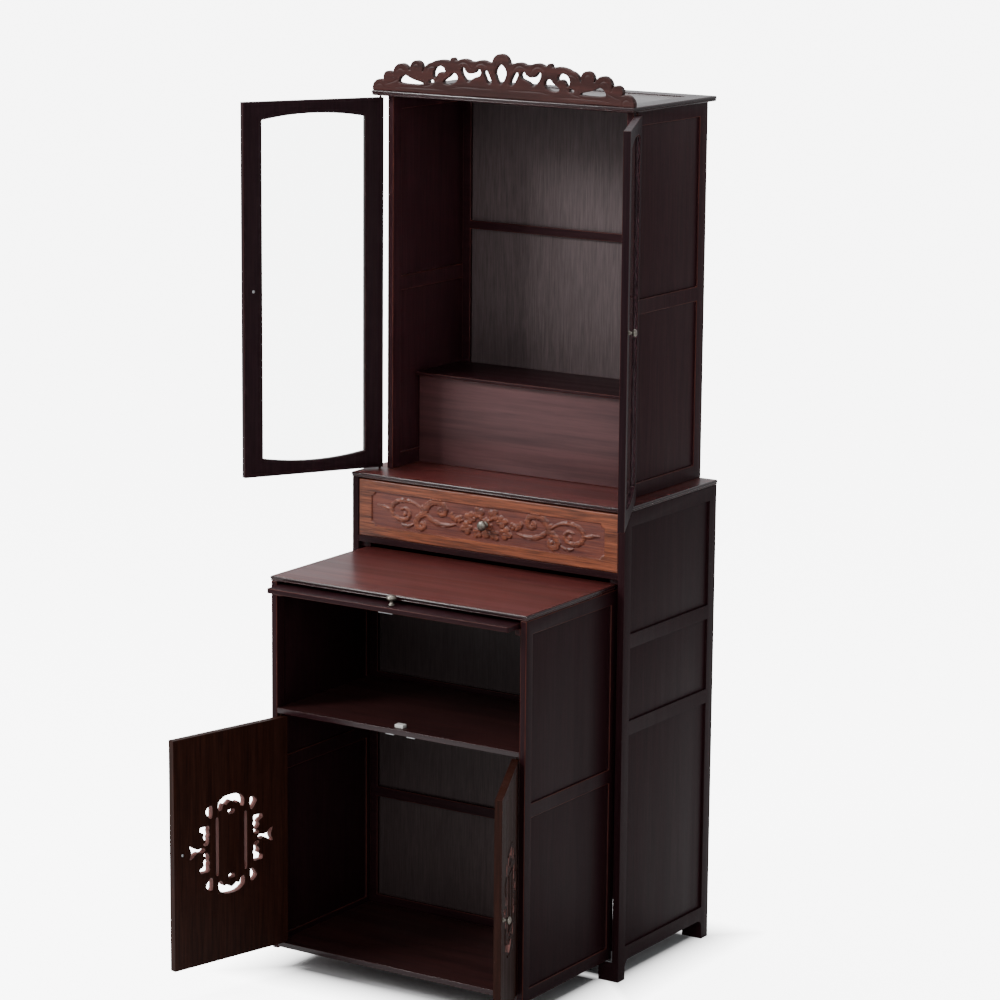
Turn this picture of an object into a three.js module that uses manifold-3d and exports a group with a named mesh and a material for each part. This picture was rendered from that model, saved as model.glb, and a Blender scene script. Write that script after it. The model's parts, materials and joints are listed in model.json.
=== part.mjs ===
// Household altar cabinet: a shrine with glazed doors on a lower case, whose table cabinet pulls out.
// Millimetres. X runs to the right, Y to the back and Z up. The drawings below take Y = 0 at the case's
// front, X = 0 in its middle and Z = 0 on the floor; the last lines move the whole to its own origin.

import * as THREE from 'three';
import { mergeVertices } from 'three/addons/utils/BufferGeometryUtils.js';
import Module from 'manifold-3d';

const wasm = await Module();
wasm.setup();

// Clearances
const glueGap = 0.3; // between pieces that are glued or seated on each other
const slideGap = 0.7; // between a sliding piece and what guides it
const doorGap = 1.5; // between the two doors of a pair

// Boards
const boardThickness = 11; // boards with a moulded edge
const panelThickness = 6; // thin panels held in frames

// Lower case
const caseWidth = 680;
const caseDepth = 375;
const caseHeight = 1013; // top of the top board
const caseSide = 15; // thickness of the side frames
const caseStile = 28;
const caseRail = 30;
const caseBottomRail = 29;
const caseUnderside = 43; // lower edge of the bottom rail above the floor
const caseLowRailCentre = 545;
const caseHighRailCentre = 730;
const caseTopOverhang = 2;
const caseBackThickness = 9;
const caseBackInset = 4; // back board ahead of the rear edges
const footWidth = 48; // along the front, side frame included
const footDepth = 27;
const footRadius = 16; // bracket curve beside each foot
const trackThickness = 3; // steel angle that carries the table cabinet
const trackBearing = 13.5; // how far a track reaches under the table cabinet's side

// Drawer
const drawerFrontHeight = 122;
const drawerFrontThickness = 16;
const drawerTopGap = 3;
const drawerSideGap = 2;
const drawerRail = 13.5; // rail below the drawer
const drawerRailDepth = 20;
const drawerBackGap = 22; // behind the pushed-in drawer
const drawerBoxHeight = 96;
const drawerWall = 11;
const drawerBottom = 5;
const drawerBottomRise = 8; // underside of the bottom above the lower edge of the sides
const fieldSideMargin = 31; // round the sunk field of the drawer front
const fieldEdgeMargin = 17;
const fieldNotch = 11;
const fieldSink = 3.2;
const fieldBevel = 1.8;
const scrollRise = 0.92; // relief of the scrolls and of the flower, as shares of the field's depth
const flowerRise = 0.97;

// Shrine
const shrineInset = 39.5; // sides in from the case's sides
const shrineHeight = 811; // case top to the top of the top board
const shrineFront = 72; // front edge of the sides behind the case front
const shrineSide = 14;
const shrineStile = 32;
const shrineRail = 31;
const shrineMidRailCentre = 398; // above the case top
const shrineBackInset = 38; // front of the back frame ahead of the rear edges
const backFrameThickness = 9;
const backPanelThickness = 4;
const backStile = 20;
const backRail = 18;
const shrineBackEndRail = 30;
const shrineBackRailCentre = 501; // above the case top
const roofFrontOverhang = 32;
const roofSideOverhang = 20;
const roofStile = 46; // width of the top board's frame members
const roofPanelSink = 2.5;
const stepHeight = 199;
const stepDepth = 165; // riser to the back frame
const stepTread = 7;
const stepRiser = 9;
const stepNosing = 15;

// Crest on the top board
const crestEndInset = 0.5; // inside each end of the top board
const crestHeight = 91;
const crestThickness = 15;
const crestSetback = 2; // behind the top board's front edge

// Glazed doors
const shrineDoorThickness = 14;
const shrineDoorStile = 42;
const shrineDoorRail = 38; // at the corners of the glass
const shrineDoorBow = 11; // how far the glass bows into each rail
const shrineDoorFloorGap = 3;
const shrineDoorRoofGap = 6;
const shrinePinEdge = 5.5; // pin to the hinge edge
const shrinePinFace = 5; // pin to the inner face
const shrinePinFront = 7; // pin ahead of the shrine's front edge
const shrinePinRadius = 2.5;
const pinSeat = 5; // how far a pin reaches into the board above or below
const pinPlay = 0.6; // round a pin and beyond its end
const glassThickness = 3;
const leftShrineDoorAngle = 120.6;
const rightShrineDoorAngle = 116.9;

// Table cabinet
const tableHold = 20; // how much of it stays in the case when it is pulled out
const tableSideGap = 11.5; // between its sides and the case's
const tableBackGap = 14; // behind it when it is pushed in
const tableHeadroom = 12.8; // below the drawer's rail
const tableSide = 14;
const tableStile = 25;
const tableTopRail = 30;
const tableMidRail = 30;
const tableMidRailCentre = 445;
const tableUnderside = 45; // lower edge of the sides above the floor
const tableBottomRail = 27;
const tableTopOverhang = 2;
const tableTopSideOverhang = 1;
const tableFloorTop = 60; // top of the bottom board above the floor
const shelfTop = 569.5;
const tableBackRailCentre = 312;
const tableBackRail = 22;
const tableBackEndRail = 30;

// Flap that is stored under the table top
const flapHeight = 268; // front to back as it lies
const flapThickness = 10.5;
const flapSideGap = 3.7;
const flapTopGap = 6.5;
const flapShowing = 38; // ahead of the table top's front edge
const flapEdgeRadius = 4;
const flapKnobSetback = 25; // knob behind the flap's front edge
const flapTrackWidth = 12;
const flapTrackHeight = 13;
const strikeLength = 34;
const strikeWidth = 12;
const strikeThickness = 1.5;
const strikeSetback = 2;

// Carved lower doors
const tableDoorThickness = 15;
const tableDoorSideGap = 1;
const tableDoorFloorGap = 1.5;
const tableDoorShelfGap = 6.5;
const tablePinEdge = 7;
const tablePinFront = 4; // pin behind the door's outer face
const tablePinRadius = 1.6;
const leftTableDoorAngle = 104.5;
const rightTableDoorAngle = 116.6;
const medallionMargin = 40.875; // from the door's edges
const reliefHeight = 3;

// Catches
const catchWidth = 20;
const catchDepth = 14;
const catchHeight = 7;
const catchGap = 1; // behind a closed door or flap
const catchSpread = 26; // middle of the cabinet to each door catch

// Knobs
const knobInset = 22; // middle of a door's knob from its free edge
const knobRadius = 11;
const knobLength = 21;
const smallKnobRadius = 8;
const smallKnobLength = 17;

// Derived levels and places
const caseInnerHalf = caseWidth / 2 - caseSide;
const caseBackFace = caseDepth - caseBackInset - caseBackThickness;
const shrineWidth = caseWidth - 2 * shrineInset;
const shrineBackFace = caseDepth - shrineBackInset;
const roofUnderside = caseHeight + shrineHeight - boardThickness;
const roofTop = caseHeight + shrineHeight;
const roofHalf = shrineWidth / 2 + roofSideOverhang;
const roofFront = shrineFront - roofFrontOverhang;
const shrineInnerHalf = shrineWidth / 2 - shrineSide;
const drawerDepth = caseBackFace - drawerBackGap;
const drawerFrontBase = caseHeight - boardThickness - drawerTopGap - drawerFrontHeight;
const drawerRailTop = drawerFrontBase - slideGap;
const tableWidth = 2 * (caseInnerHalf - tableSideGap);
const tableDepth = caseBackFace - tableBackGap;
const tableHeight = drawerRailTop - drawerRail - tableHeadroom;
const tableTravel = tableDepth - tableHold;
const trackLeg = tableSideGap + trackBearing;
const tableInnerHalf = tableWidth / 2 - tableSide;
const tableTopUnderside = tableHeight - boardThickness;
const tableBackFace = tableDepth - backFrameThickness - backPanelThickness - glueGap;
const shelfUnderside = shelfTop - boardThickness;
const flapTop = tableTopUnderside - flapTopGap;
const drawerFrontWidth = caseWidth - 2 * caseSide - 2 * drawerSideGap;
const fieldLength = drawerFrontWidth - 2 * fieldSideMargin;
const fieldHeight = drawerFrontHeight - 2 * fieldEdgeMargin;
const crestLength = 2 * (roofHalf - crestEndInset);
const shrinePinX = roofHalf - shrinePinEdge;
const shrinePinY = shrineFront - shrinePinFront;
const tablePinX = tableInnerHalf - tableDoorSideGap - tablePinEdge;
const tableDoorMeeting = tablePinX - doorGap / 2; // a door's pin to its free edge
const medallionRadius = (tableDoorMeeting + tablePinEdge) / 2 - medallionMargin;

// Materials, one per kind of surface
function finish(name, color, roughness, metalness = 0) {
  return new THREE.MeshStandardMaterial({ name, color, roughness, metalness });
}
const darkWood = finish('dark_wood', 0x2f2224, 0.42);
const redWood = finish('red_wood', 0x5a3230, 0.4);
const carvedWood = finish('carved_wood', 0x68432f, 0.45);
const crestWood = finish('crest_wood', 0x4c2d28, 0.5);
const greyWood = finish('grey_wood', 0x4a4444, 0.6);
const pewter = finish('pewter', 0x9a958c, 0.35, 0.9);
const steel = finish('steel', 0x8d8f92, 0.4, 0.9);
const whitePlastic = finish('white_plastic', 0xe6e4de, 0.5);
const glass = new THREE.MeshStandardMaterial({
  name: 'glass', color: 0xf2f6f5, roughness: 0.05, transparent: true, opacity: 0.3,
});

// Solids

function toSolid(geometry) {
  const bare = geometry.clone();
  bare.deleteAttribute('normal');
  bare.deleteAttribute('uv');
  const merged = mergeVertices(bare, 1e-4);
  return new wasm.Manifold(new wasm.Mesh({
    numProp: 3,
    vertProperties: new Float32Array(merged.attributes.position.array),
    triVerts: new Uint32Array(merged.index.array),
  }));
}

function toGeometry(solid) {
  const mesh = solid.getMesh();
  const geometry = new THREE.BufferGeometry();
  geometry.setAttribute('position', new THREE.BufferAttribute(mesh.vertProperties, 3));
  geometry.setIndex(new THREE.BufferAttribute(mesh.triVerts, 1));
  geometry.computeVertexNormals();
  return geometry;
}

function union(geometries) {
  const [first, ...rest] = geometries.map(toSolid);
  return toGeometry(rest.reduce((sum, solid) => sum.add(solid), first));
}

function cut(geometry, cutters) {
  return toGeometry(cutters.reduce((body, cutter) => body.subtract(toSolid(cutter)), toSolid(geometry)));
}

// A box given by its lowest and highest corner.
function block(x0, y0, z0, x1, y1, z1) {
  const geometry = new THREE.BoxGeometry(x1 - x0, y1 - y0, z1 - z0);
  return geometry.translate((x0 + x1) / 2, (y0 + y1) / 2, (z0 + z1) / 2);
}

// Turns a drawing in the plane of a side (drawn with Y across and Z up) into a plate along +X.
const sidePlane = new THREE.Matrix4().set(0, 0, 1, 0, 1, 0, 0, 0, 0, 1, 0, 0, 0, 0, 0, 1);
// Turns a drawing of a front (drawn with X across and Z up) into a plate that grows towards the viewer, -Y.
const frontPlane = new THREE.Matrix4().set(1, 0, 0, 0, 0, 0, -1, 0, 0, 1, 0, 0, 0, 0, 0, 1);

function plate(shape, thickness, plane, curveSegments = 12) {
  const geometry = new THREE.ExtrudeGeometry(shape, { depth: thickness, bevelEnabled: false, curveSegments });
  return plane ? geometry.applyMatrix4(plane) : geometry;
}

function rectangle(Kind, u0, v0, u1, v1) {
  const outline = new Kind();
  outline.moveTo(u0, v0);
  outline.lineTo(u1, v0);
  outline.lineTo(u1, v1);
  outline.lineTo(u0, v1);
  outline.closePath();
  return outline;
}

// A closed solid between two outlines with as many points each, at two depths along the drawing's normal.
function loft(low, high, lowDepth, highDepth) {
  const count = low.length;
  const positions = [];
  low.forEach((p) => positions.push(p.x, p.y, lowDepth));
  high.forEach((p) => positions.push(p.x, p.y, highDepth));
  const index = [];
  for (let i = 0; i < count; i += 1) {
    const j = (i + 1) % count;
    index.push(i, j, count + j, i, count + j, count + i);
  }
  THREE.ShapeUtils.triangulateShape(low, []).forEach(([a, b, c]) => index.push(a, c, b));
  THREE.ShapeUtils.triangulateShape(high, [])
    .forEach(([a, b, c]) => index.push(count + a, count + b, count + c));
  const geometry = new THREE.BufferGeometry();
  geometry.setAttribute('position', new THREE.Float32BufferAttribute(positions, 3));
  geometry.setIndex(index);
  return geometry;
}

// A horizontal board whose front and side edges carry a moulding: pairs of height and how far the edge
// stands back, both as shares of the board's thickness.
const edgeMoulding = [
  [0, 0.24], [0.17, 0.06], [0.3, 0.06], [0.37, 0.16], [0.44, 0.04], [0.56, 0], [0.78, 0], [0.91, 0.06],
  [1, 0.2],
];

function mouldedBoard(half, front, back, base) {
  const positions = [];
  const index = [];
  edgeMoulding.forEach(([height, inset]) => {
    const x = half - inset * boardThickness;
    const y = front + inset * boardThickness;
    const z = base + height * boardThickness;
    positions.push(-x, y, z, x, y, z, x, back, z, -x, back, z);
  });
  for (let ring = 0; ring + 1 < edgeMoulding.length; ring += 1) {
    for (let i = 0; i < 4; i += 1) {
      const a = ring * 4 + i;
      const b = ring * 4 + ((i + 1) % 4);
      index.push(a, b, b + 4, a, b + 4, a + 4);
    }
  }
  const last = (edgeMoulding.length - 1) * 4;
  index.push(0, 2, 1, 0, 3, 2, last, last + 1, last + 2, last, last + 2, last + 3);
  const geometry = new THREE.BufferGeometry();
  geometry.setAttribute('position', new THREE.Float32BufferAttribute(positions, 3));
  geometry.setIndex(index);
  return geometry;
}

// A turned piece: pairs of radius and height, from the axis to the axis, standing on the XY plane.
function turned(profile, segments = 8) {
  const points = profile.map(([radius, height]) => new THREE.Vector2(radius, height));
  return new THREE.LatheGeometry(points, segments).rotateX(Math.PI / 2);
}

function knob(radius, length) {
  return turned([
    [0, 0], [0.62 * radius, 0], [0.62 * radius, 0.1 * length], [0.34 * radius, 0.24 * length],
    [0.34 * radius, 0.46 * length], [radius, 0.68 * length], [0.8 * radius, 0.92 * length], [0, length],
  ]);
}

// A door's two pins in one, through the door and into the boards above and below it.
function pinThrough(radius, height, floorGap, ceilingGap) {
  const low = -floorGap - pinSeat + pinPlay;
  const high = height + ceilingGap + pinSeat - pinPlay;
  return new THREE.CylinderGeometry(radius, radius, high - low, 8).rotateX(Math.PI / 2)
    .translate(0, 0, (low + high) / 2);
}

// A pair of pin holes, cut into a board from the given level upwards or downwards.
function pinHoles(x, y, face, way, radius) {
  const depth = pinSeat + 1;
  const middle = face + way * (pinSeat - 1) / 2;
  const hole = new THREE.CylinderGeometry(radius + pinPlay, radius + pinPlay, depth, 8).rotateX(Math.PI / 2);
  return [-x, x].map((place) => hole.clone().translate(place, y, middle));
}

// Cabinet tree

function piece(parent, name, geometry, material) {
  const mesh = new THREE.Mesh(geometry, material);
  mesh.name = name;
  parent.add(mesh);
  return mesh;
}

function groupIn(parent, x, y, z, turn = 0) {
  const group = new THREE.Group();
  group.position.set(x, y, z);
  group.rotation.z = THREE.MathUtils.degToRad(turn);
  parent.add(group);
  return group;
}

// Side frames, with a thin panel in each opening

// rails: from the lowest to the highest, each [low edge, high edge]. The first and last close the frame.
function framedSide(parent, prefix, side, outerHalf, thickness, front, back, stile, rails, shapeFrame) {
  const x0 = side > 0 ? outerHalf - thickness : -outerHalf;
  const top = rails[rails.length - 1][1];
  const outline = shapeFrame ? shapeFrame() : rectangle(THREE.Shape, front, rails[0][0], back, top);
  const openings = rails.slice(1).map((rail, i) => [front + stile, rails[i][1], back - stile, rail[0]]);
  openings.forEach(([y0, z0, y1, z1]) => outline.holes.push(rectangle(THREE.Path, y0, z0, y1, z1)));
  const frameGeometry = plate(outline, thickness, sidePlane).translate(x0, 0, 0);
  const places = ['lower', 'middle', 'upper'];
  const names = openings.length === 2 ? ['lower', 'upper'] : places;
  const inset = (thickness - panelThickness) / 2;
  openings.forEach(([y0, z0, y1, z1], i) => {
    piece(parent, `${prefix}_${names[i]}_panel`, block(
      x0 + inset, y0 + glueGap, z0 + glueGap, x0 + thickness - inset, y1 - glueGap, z1 - glueGap,
    ), darkWood);
  });
  return frameGeometry;
}

// Lower case

// The side's outline: its stiles run down into feet, with a bracket curve beside each.
function caseSideOutline() {
  const top = caseHeight - boardThickness - glueGap;
  const springing = caseUnderside - footRadius;
  const backFoot = caseDepth - footDepth;
  const outline = new THREE.Shape();
  outline.moveTo(0, 0);
  outline.lineTo(footDepth, 0);
  outline.lineTo(footDepth, springing);
  outline.absarc(footDepth + footRadius, springing, footRadius, Math.PI, Math.PI / 2, true);
  outline.lineTo(backFoot - footRadius, caseUnderside);
  outline.absarc(backFoot - footRadius, springing, footRadius, Math.PI / 2, 0, true);
  outline.lineTo(backFoot, 0);
  outline.lineTo(caseDepth, 0);
  outline.lineTo(caseDepth, top);
  outline.lineTo(0, top);
  outline.closePath();
  return outline;
}

function caseSideFrame(parent, name, side) {
  const half = caseRail / 2;
  const top = caseHeight - boardThickness - glueGap;
  const frame = framedSide(parent, name, side, caseWidth / 2, caseSide, 0, caseDepth, caseStile, [
    [caseUnderside, caseUnderside + caseBottomRail],
    [caseLowRailCentre - half, caseLowRailCentre + half],
    [caseHighRailCentre - half, caseHighRailCentre + half],
    [top - caseRail, top],
  ], caseSideOutline);
  const inner = side * (caseWidth / 2 - footWidth);
  const outer = side * (caseWidth / 2 - caseSide / 2);
  const feet = [0, caseDepth - footDepth].map((y) => block(
    Math.min(inner, outer), y, 0, Math.max(inner, outer), y + footDepth, caseUnderside - trackThickness,
  ));
  piece(parent, `${name}_frame`, union([frame, ...feet]), darkWood);
}

// A steel angle inside the case that the table cabinet's side runs on.
function caseTrack(parent, name, side) {
  const wall = caseInnerHalf - glueGap;
  const deck = tableUnderside - slideGap;
  const leg = new THREE.Shape();
  leg.moveTo(side * wall, deck - trackThickness);
  leg.lineTo(side * (wall - trackLeg), deck - trackThickness);
  leg.lineTo(side * (wall - trackLeg), deck);
  leg.lineTo(side * (wall - trackThickness), deck);
  leg.lineTo(side * (wall - trackThickness), deck - trackThickness + trackLeg);
  leg.lineTo(side * wall, deck - trackThickness + trackLeg);
  leg.closePath();
  const length = caseBackFace - 2 * glueGap;
  piece(parent, name, plate(leg, length, frontPlane).translate(0, caseBackFace - glueGap, 0), steel);
}

// The frame under the drawer: a front rail, and side members that carry the drawer and stop the table
// cabinet from tipping.
function drawerFrame(parent) {
  const half = caseInnerHalf - glueGap;
  const back = caseBackFace - glueGap;
  const low = tableHeight + slideGap;
  const rails = [
    block(-half, 0, drawerRailTop - drawerRail, half, drawerRailDepth, drawerRailTop),
    block(-half, back - drawerRailDepth, drawerRailTop - drawerRail, half, back, drawerRailTop),
    block(-half, drawerRailDepth / 2, low, trackLeg - half, back, drawerRailTop),
    block(half - trackLeg, drawerRailDepth / 2, low, half, back, drawerRailTop),
  ];
  piece(parent, 'case_drawer_frame', union(rails), darkWood);
}

function buildCase(parent) {
  const topBase = caseHeight - boardThickness;
  const topHalf = caseWidth / 2 + caseTopOverhang;
  const board = mouldedBoard(topHalf, -caseTopOverhang, caseDepth, topBase);
  const holes = pinHoles(shrinePinX, shrinePinY, caseHeight, -1, shrinePinRadius);
  piece(parent, 'case_top', cut(board, holes), redWood);
  caseSideFrame(parent, 'case_left', -1);
  caseSideFrame(parent, 'case_right', 1);
  caseTrack(parent, 'case_left_track', -1);
  caseTrack(parent, 'case_right_track', 1);
  drawerFrame(parent);
  piece(parent, 'case_back', block(
    glueGap - caseInnerHalf, caseBackFace, caseUnderside,
    caseInnerHalf - glueGap, caseBackFace + caseBackThickness, topBase - glueGap,
  ), greyWood);
}

// Ornament: strokes with a swelling and tapering width, as paths of points with half widths

function bezierPath(points, count) {
  const [a, b, c, d] = points.map(([x, y]) => new THREE.Vector2(x, y));
  return new THREE.CubicBezierCurve(a, b, c, d).getPoints(count);
}

// An arc or a spiral about a centre, its angles in degrees.
function spiralPath(centre, radii, angles, count) {
  return Array.from({ length: count + 1 }, (_, i) => {
    const t = i / count;
    const radius = radii[0] + (radii[1] - radii[0]) * t;
    const angle = THREE.MathUtils.degToRad(angles[0] + (angles[1] - angles[0]) * t);
    return new THREE.Vector2(centre[0] + radius * Math.cos(angle), centre[1] + radius * Math.sin(angle));
  });
}

// Half width along a stroke: from start to end, swelling in between.
function swell(start, middle, end) {
  return (t) => start + (end - start) * t + (middle - (start + end) / 2) * Math.sin(Math.PI * t);
}

// The outline of a stroke, anticlockwise: both sides of the path and a point beyond each end.
function strokeOutline(path, halfWidth, shrink = 1) {
  const last = path.length - 1;
  const left = [];
  const right = [];
  path.forEach((point, i) => {
    const ahead = path[Math.min(i + 1, last)];
    const behind = path[Math.max(i - 1, 0)];
    const direction = ahead.clone().sub(behind).normalize();
    const offset = new THREE.Vector2(-direction.y, direction.x).multiplyScalar(halfWidth(i / last) * shrink);
    left.push(point.clone().add(offset));
    right.push(point.clone().sub(offset));
  });
  const cap = (from, to, width) => {
    const direction = from.clone().sub(to).normalize();
    return from.clone().addScaledVector(direction, width * shrink);
  };
  const start = cap(path[0], path[1], halfWidth(0));
  const end = cap(path[last], path[last - 1], halfWidth(1));
  return [start, ...right, end, ...left.reverse()];
}

// A raised stroke with sloping sides, grown from a little below the ground to the given height.
function ridge(path, halfWidth, height) {
  return loft(strokeOutline(path, halfWidth), strokeOutline(path, halfWidth, 0.45), -1, height);
}

function boss(x, y, radius, height, sides = 8) {
  const geometry = new THREE.CylinderGeometry(radius * 0.55, radius, height + 1, sides);
  return geometry.rotateX(Math.PI / 2).translate(x, y, (height - 1) / 2);
}

function mirrored(path) {
  return path.map((point) => new THREE.Vector2(-point.x, point.y)).reverse();
}

// Drawer

// The field's outline, with a round notch at each corner.
function fieldOutline(inset) {
  const half = fieldLength / 2 - inset;
  const rise = fieldHeight / 2 - inset;
  const steps = 4;
  const radii = [fieldNotch, fieldNotch];
  const corners = [[half, -rise, 180], [half, rise, 270], [-half, rise, 0], [-half, -rise, 90]];
  return corners.flatMap(([x, y, from]) => spiralPath([x, y], radii, [from, from - 90], steps));
}

// One half of the scroll work, as drawn for the half with positive X, for a field 584 long and 88 high.
function drawerScrolls(height) {
  const strokes = [
    [bezierPath([[58, -20], [100, -34], [140, -20], [155, 14]], 4), swell(1.2, 3.4, 3)],
    [bezierPath([[151, 8], [166, 38], [232, 40], [241, 4]], 5), swell(2.4, 3.8, 2.4)],
    [bezierPath([[239, 8], [250, -4], [262, 14], [281, 8]], 3), swell(2, 4.6, 0.4)],
    [spiralPath([217, -3], [17, 7], [75, 400], 7), swell(1.6, 3.2, 2.6)],
    [spiralPath([117, 13], [19, 8], [-60, 250], 7), swell(1.8, 4, 3)],
    [spiralPath([161, -23], [15, 6], [95, 400], 6), swell(1.8, 3.6, 2.4)],
    [bezierPath([[150, 6], [140, 14], [136, 26], [146, 33]], 2), swell(1.6, 3.6, 0.6)],
    [bezierPath([[184, 30], [196, 22], [206, 34], [222, 36]], 2), swell(1, 3.4, 0.5)],
    [bezierPath([[178, -26], [190, -34], [204, -34], [214, -26]], 2), swell(1, 3.2, 0.5)],
    [bezierPath([[84, 2], [90, 10], [86, 20], [92, 28]], 2), swell(1, 4.2, 0.6)],
  ];
  const eyes = [[217, -3, 5], [117, 13, 6], [161, -23, 4.5]];
  const both = (side) => [
    ...strokes.map(([path, width]) => ridge(side > 0 ? path : mirrored(path), width, height)),
    ...eyes.map(([x, y, radius]) => boss(side * x, y, radius, height)),
  ];
  return [...both(1), ...both(-1)];
}

// The flower round the knob: petals on a ring, with a pair of leaves at each side.
function drawerFlower(height) {
  const petals = 7;
  const parts = [boss(0, 0, 15, height * 0.8, 12)];
  for (let i = 0; i < petals; i += 1) {
    const angle = THREE.MathUtils.degToRad(90 + (i * 360) / petals);
    const along = Math.cos(angle);
    const up = Math.sin(angle);
    const at = (r, side) => [r * along * 1.25 - side * up, r * up + side * along];
    parts.push(ridge(bezierPath([at(13, 0), at(20, 3), at(27, 3), at(33, 0)], 2), swell(4, 9, 2.5), height));
  }
  [1, -1].forEach((side) => {
    [[8, 14], [-14, -6]].forEach(([from, to]) => {
      parts.push(ridge(bezierPath([
        [side * 42, from], [side * 52, from + 4], [side * 60, to], [side * 72, to],
      ], 2), swell(2.5, 6, 0.6), height * 0.9));
    });
  });
  return parts;
}

function drawerFront(width) {
  const half = width / 2;
  const front = block(-half, 0, -drawerFrontHeight / 2, half, drawerFrontThickness, drawerFrontHeight / 2);
  const floor = -fieldSink;
  const field = loft(fieldOutline(fieldBevel), fieldOutline(0), floor, 0);
  const mouth = loft(fieldOutline(0), fieldOutline(0), 0, 1);
  const relief = [...drawerScrolls(fieldSink * scrollRise), ...drawerFlower(fieldSink * flowerRise)];
  const [across, up] = [fieldLength / 584, fieldHeight / 88];
  const scaled = relief.map((part) => part.scale(across, up, 1).translate(0, 0, floor));
  const sunk = cut(front, [union([field, mouth]).applyMatrix4(frontPlane)]);
  return union([sunk, ...scaled.map((part) => part.applyMatrix4(frontPlane))]);
}

function drawerBox(half, length) {
  const outer = block(-half, 0, 0, half, length, drawerBoxHeight);
  const inner = half - drawerWall;
  const back = length - drawerWall;
  return cut(outer, [
    block(-inner, drawerWall, drawerBottomRise + drawerBottom, inner, back, drawerBoxHeight + 1),
    block(-inner, drawerWall, -1, inner, back, drawerBottomRise),
  ]);
}

function buildDrawer(parent) {
  const drawer = groupIn(parent, 0, 0, drawerFrontBase);
  const front = piece(drawer, 'drawer_front', drawerFront(drawerFrontWidth), carvedWood);
  front.position.set(0, 0, drawerFrontHeight / 2);
  const boxHalf = drawerFrontWidth / 2 - drawerSideGap;
  const box = drawerBox(boxHalf, drawerDepth - drawerFrontThickness);
  piece(drawer, 'drawer_box', box.translate(0, drawerFrontThickness + glueGap, 0), redWood);
  const pull = knob(knobRadius, knobLength).rotateX(Math.PI / 2);
  const seat = piece(drawer, 'drawer_knob', pull, pewter);
  seat.position.set(0, fieldSink * (1 - flowerRise) - glueGap, drawerFrontHeight / 2);
}

// Shrine

function shrineSideFrame(parent, name, side) {
  const base = caseHeight + glueGap;
  const top = roofUnderside - glueGap;
  const middle = caseHeight + shrineMidRailCentre;
  const frame = framedSide(
    parent, name, side, shrineWidth / 2, shrineSide, shrineFront, caseDepth, shrineStile,
    [[base, base + shrineRail], [middle - shrineRail / 2, middle + shrineRail / 2], [top - shrineRail, top]],
  );
  piece(parent, `${name}_frame`, frame, darkWood);
}

// A back made of a frame in front of one thin board.
function framedBack(parent, prefix, half, base, top, face, endRail, rails) {
  const outline = rectangle(THREE.Shape, -half, base, half, top);
  const edges = [base + endRail, ...rails.flat(), top - endRail];
  for (let i = 0; i < edges.length; i += 2) {
    outline.holes.push(rectangle(THREE.Path, backStile - half, edges[i], half - backStile, edges[i + 1]));
  }
  const frame = plate(outline, backFrameThickness, frontPlane).translate(0, face + backFrameThickness, 0);
  piece(parent, `${prefix}_back_frame`, frame, darkWood);
  const panelFront = face + backFrameThickness + glueGap;
  piece(parent, `${prefix}_back_panel`, block(
    -half, panelFront, base, half, panelFront + backPanelThickness, top,
  ), greyWood);
}

// Piercings of the crest's half with positive X, drawn as the crest is.
const crestPiercings = [
  [
    [186, 19], [188, 25], [200, 27], [212, 32], [221, 40], [230, 43], [240, 38], [248, 30], [249, 22],
    [240, 17], [215, 15.5], [196, 16],
  ],
  [
    [137, 48], [141, 56], [151, 59], [161, 56], [168, 47], [168, 36], [163, 32], [159, 38], [154, 45],
    [146, 47], [140, 44],
  ],
  [[166, 23], [166, 28], [172, 30], [180, 26], [177, 21]],
  [[107, 29], [107, 41], [114, 46], [122, 45], [127, 38], [136, 33], [144, 27], [141, 22], [124, 21]],
  [
    [99, 57], [97, 45], [91, 37], [84, 30], [77, 28], [72, 35], [62, 40], [51, 43], [48, 50], [51, 57],
    [58, 57], [63, 50], [72, 46], [82, 47], [88, 53], [92, 60],
  ],
  [[34, 55], [40, 56], [44, 51], [40, 43], [36, 35], [32, 29], [26, 27], [21, 31], [25, 39], [29, 48]],
];

function crestRound(x, z, radius, sides) {
  return new THREE.CylinderGeometry(radius, radius, crestThickness, sides).translate(x, 0, z);
}

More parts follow.
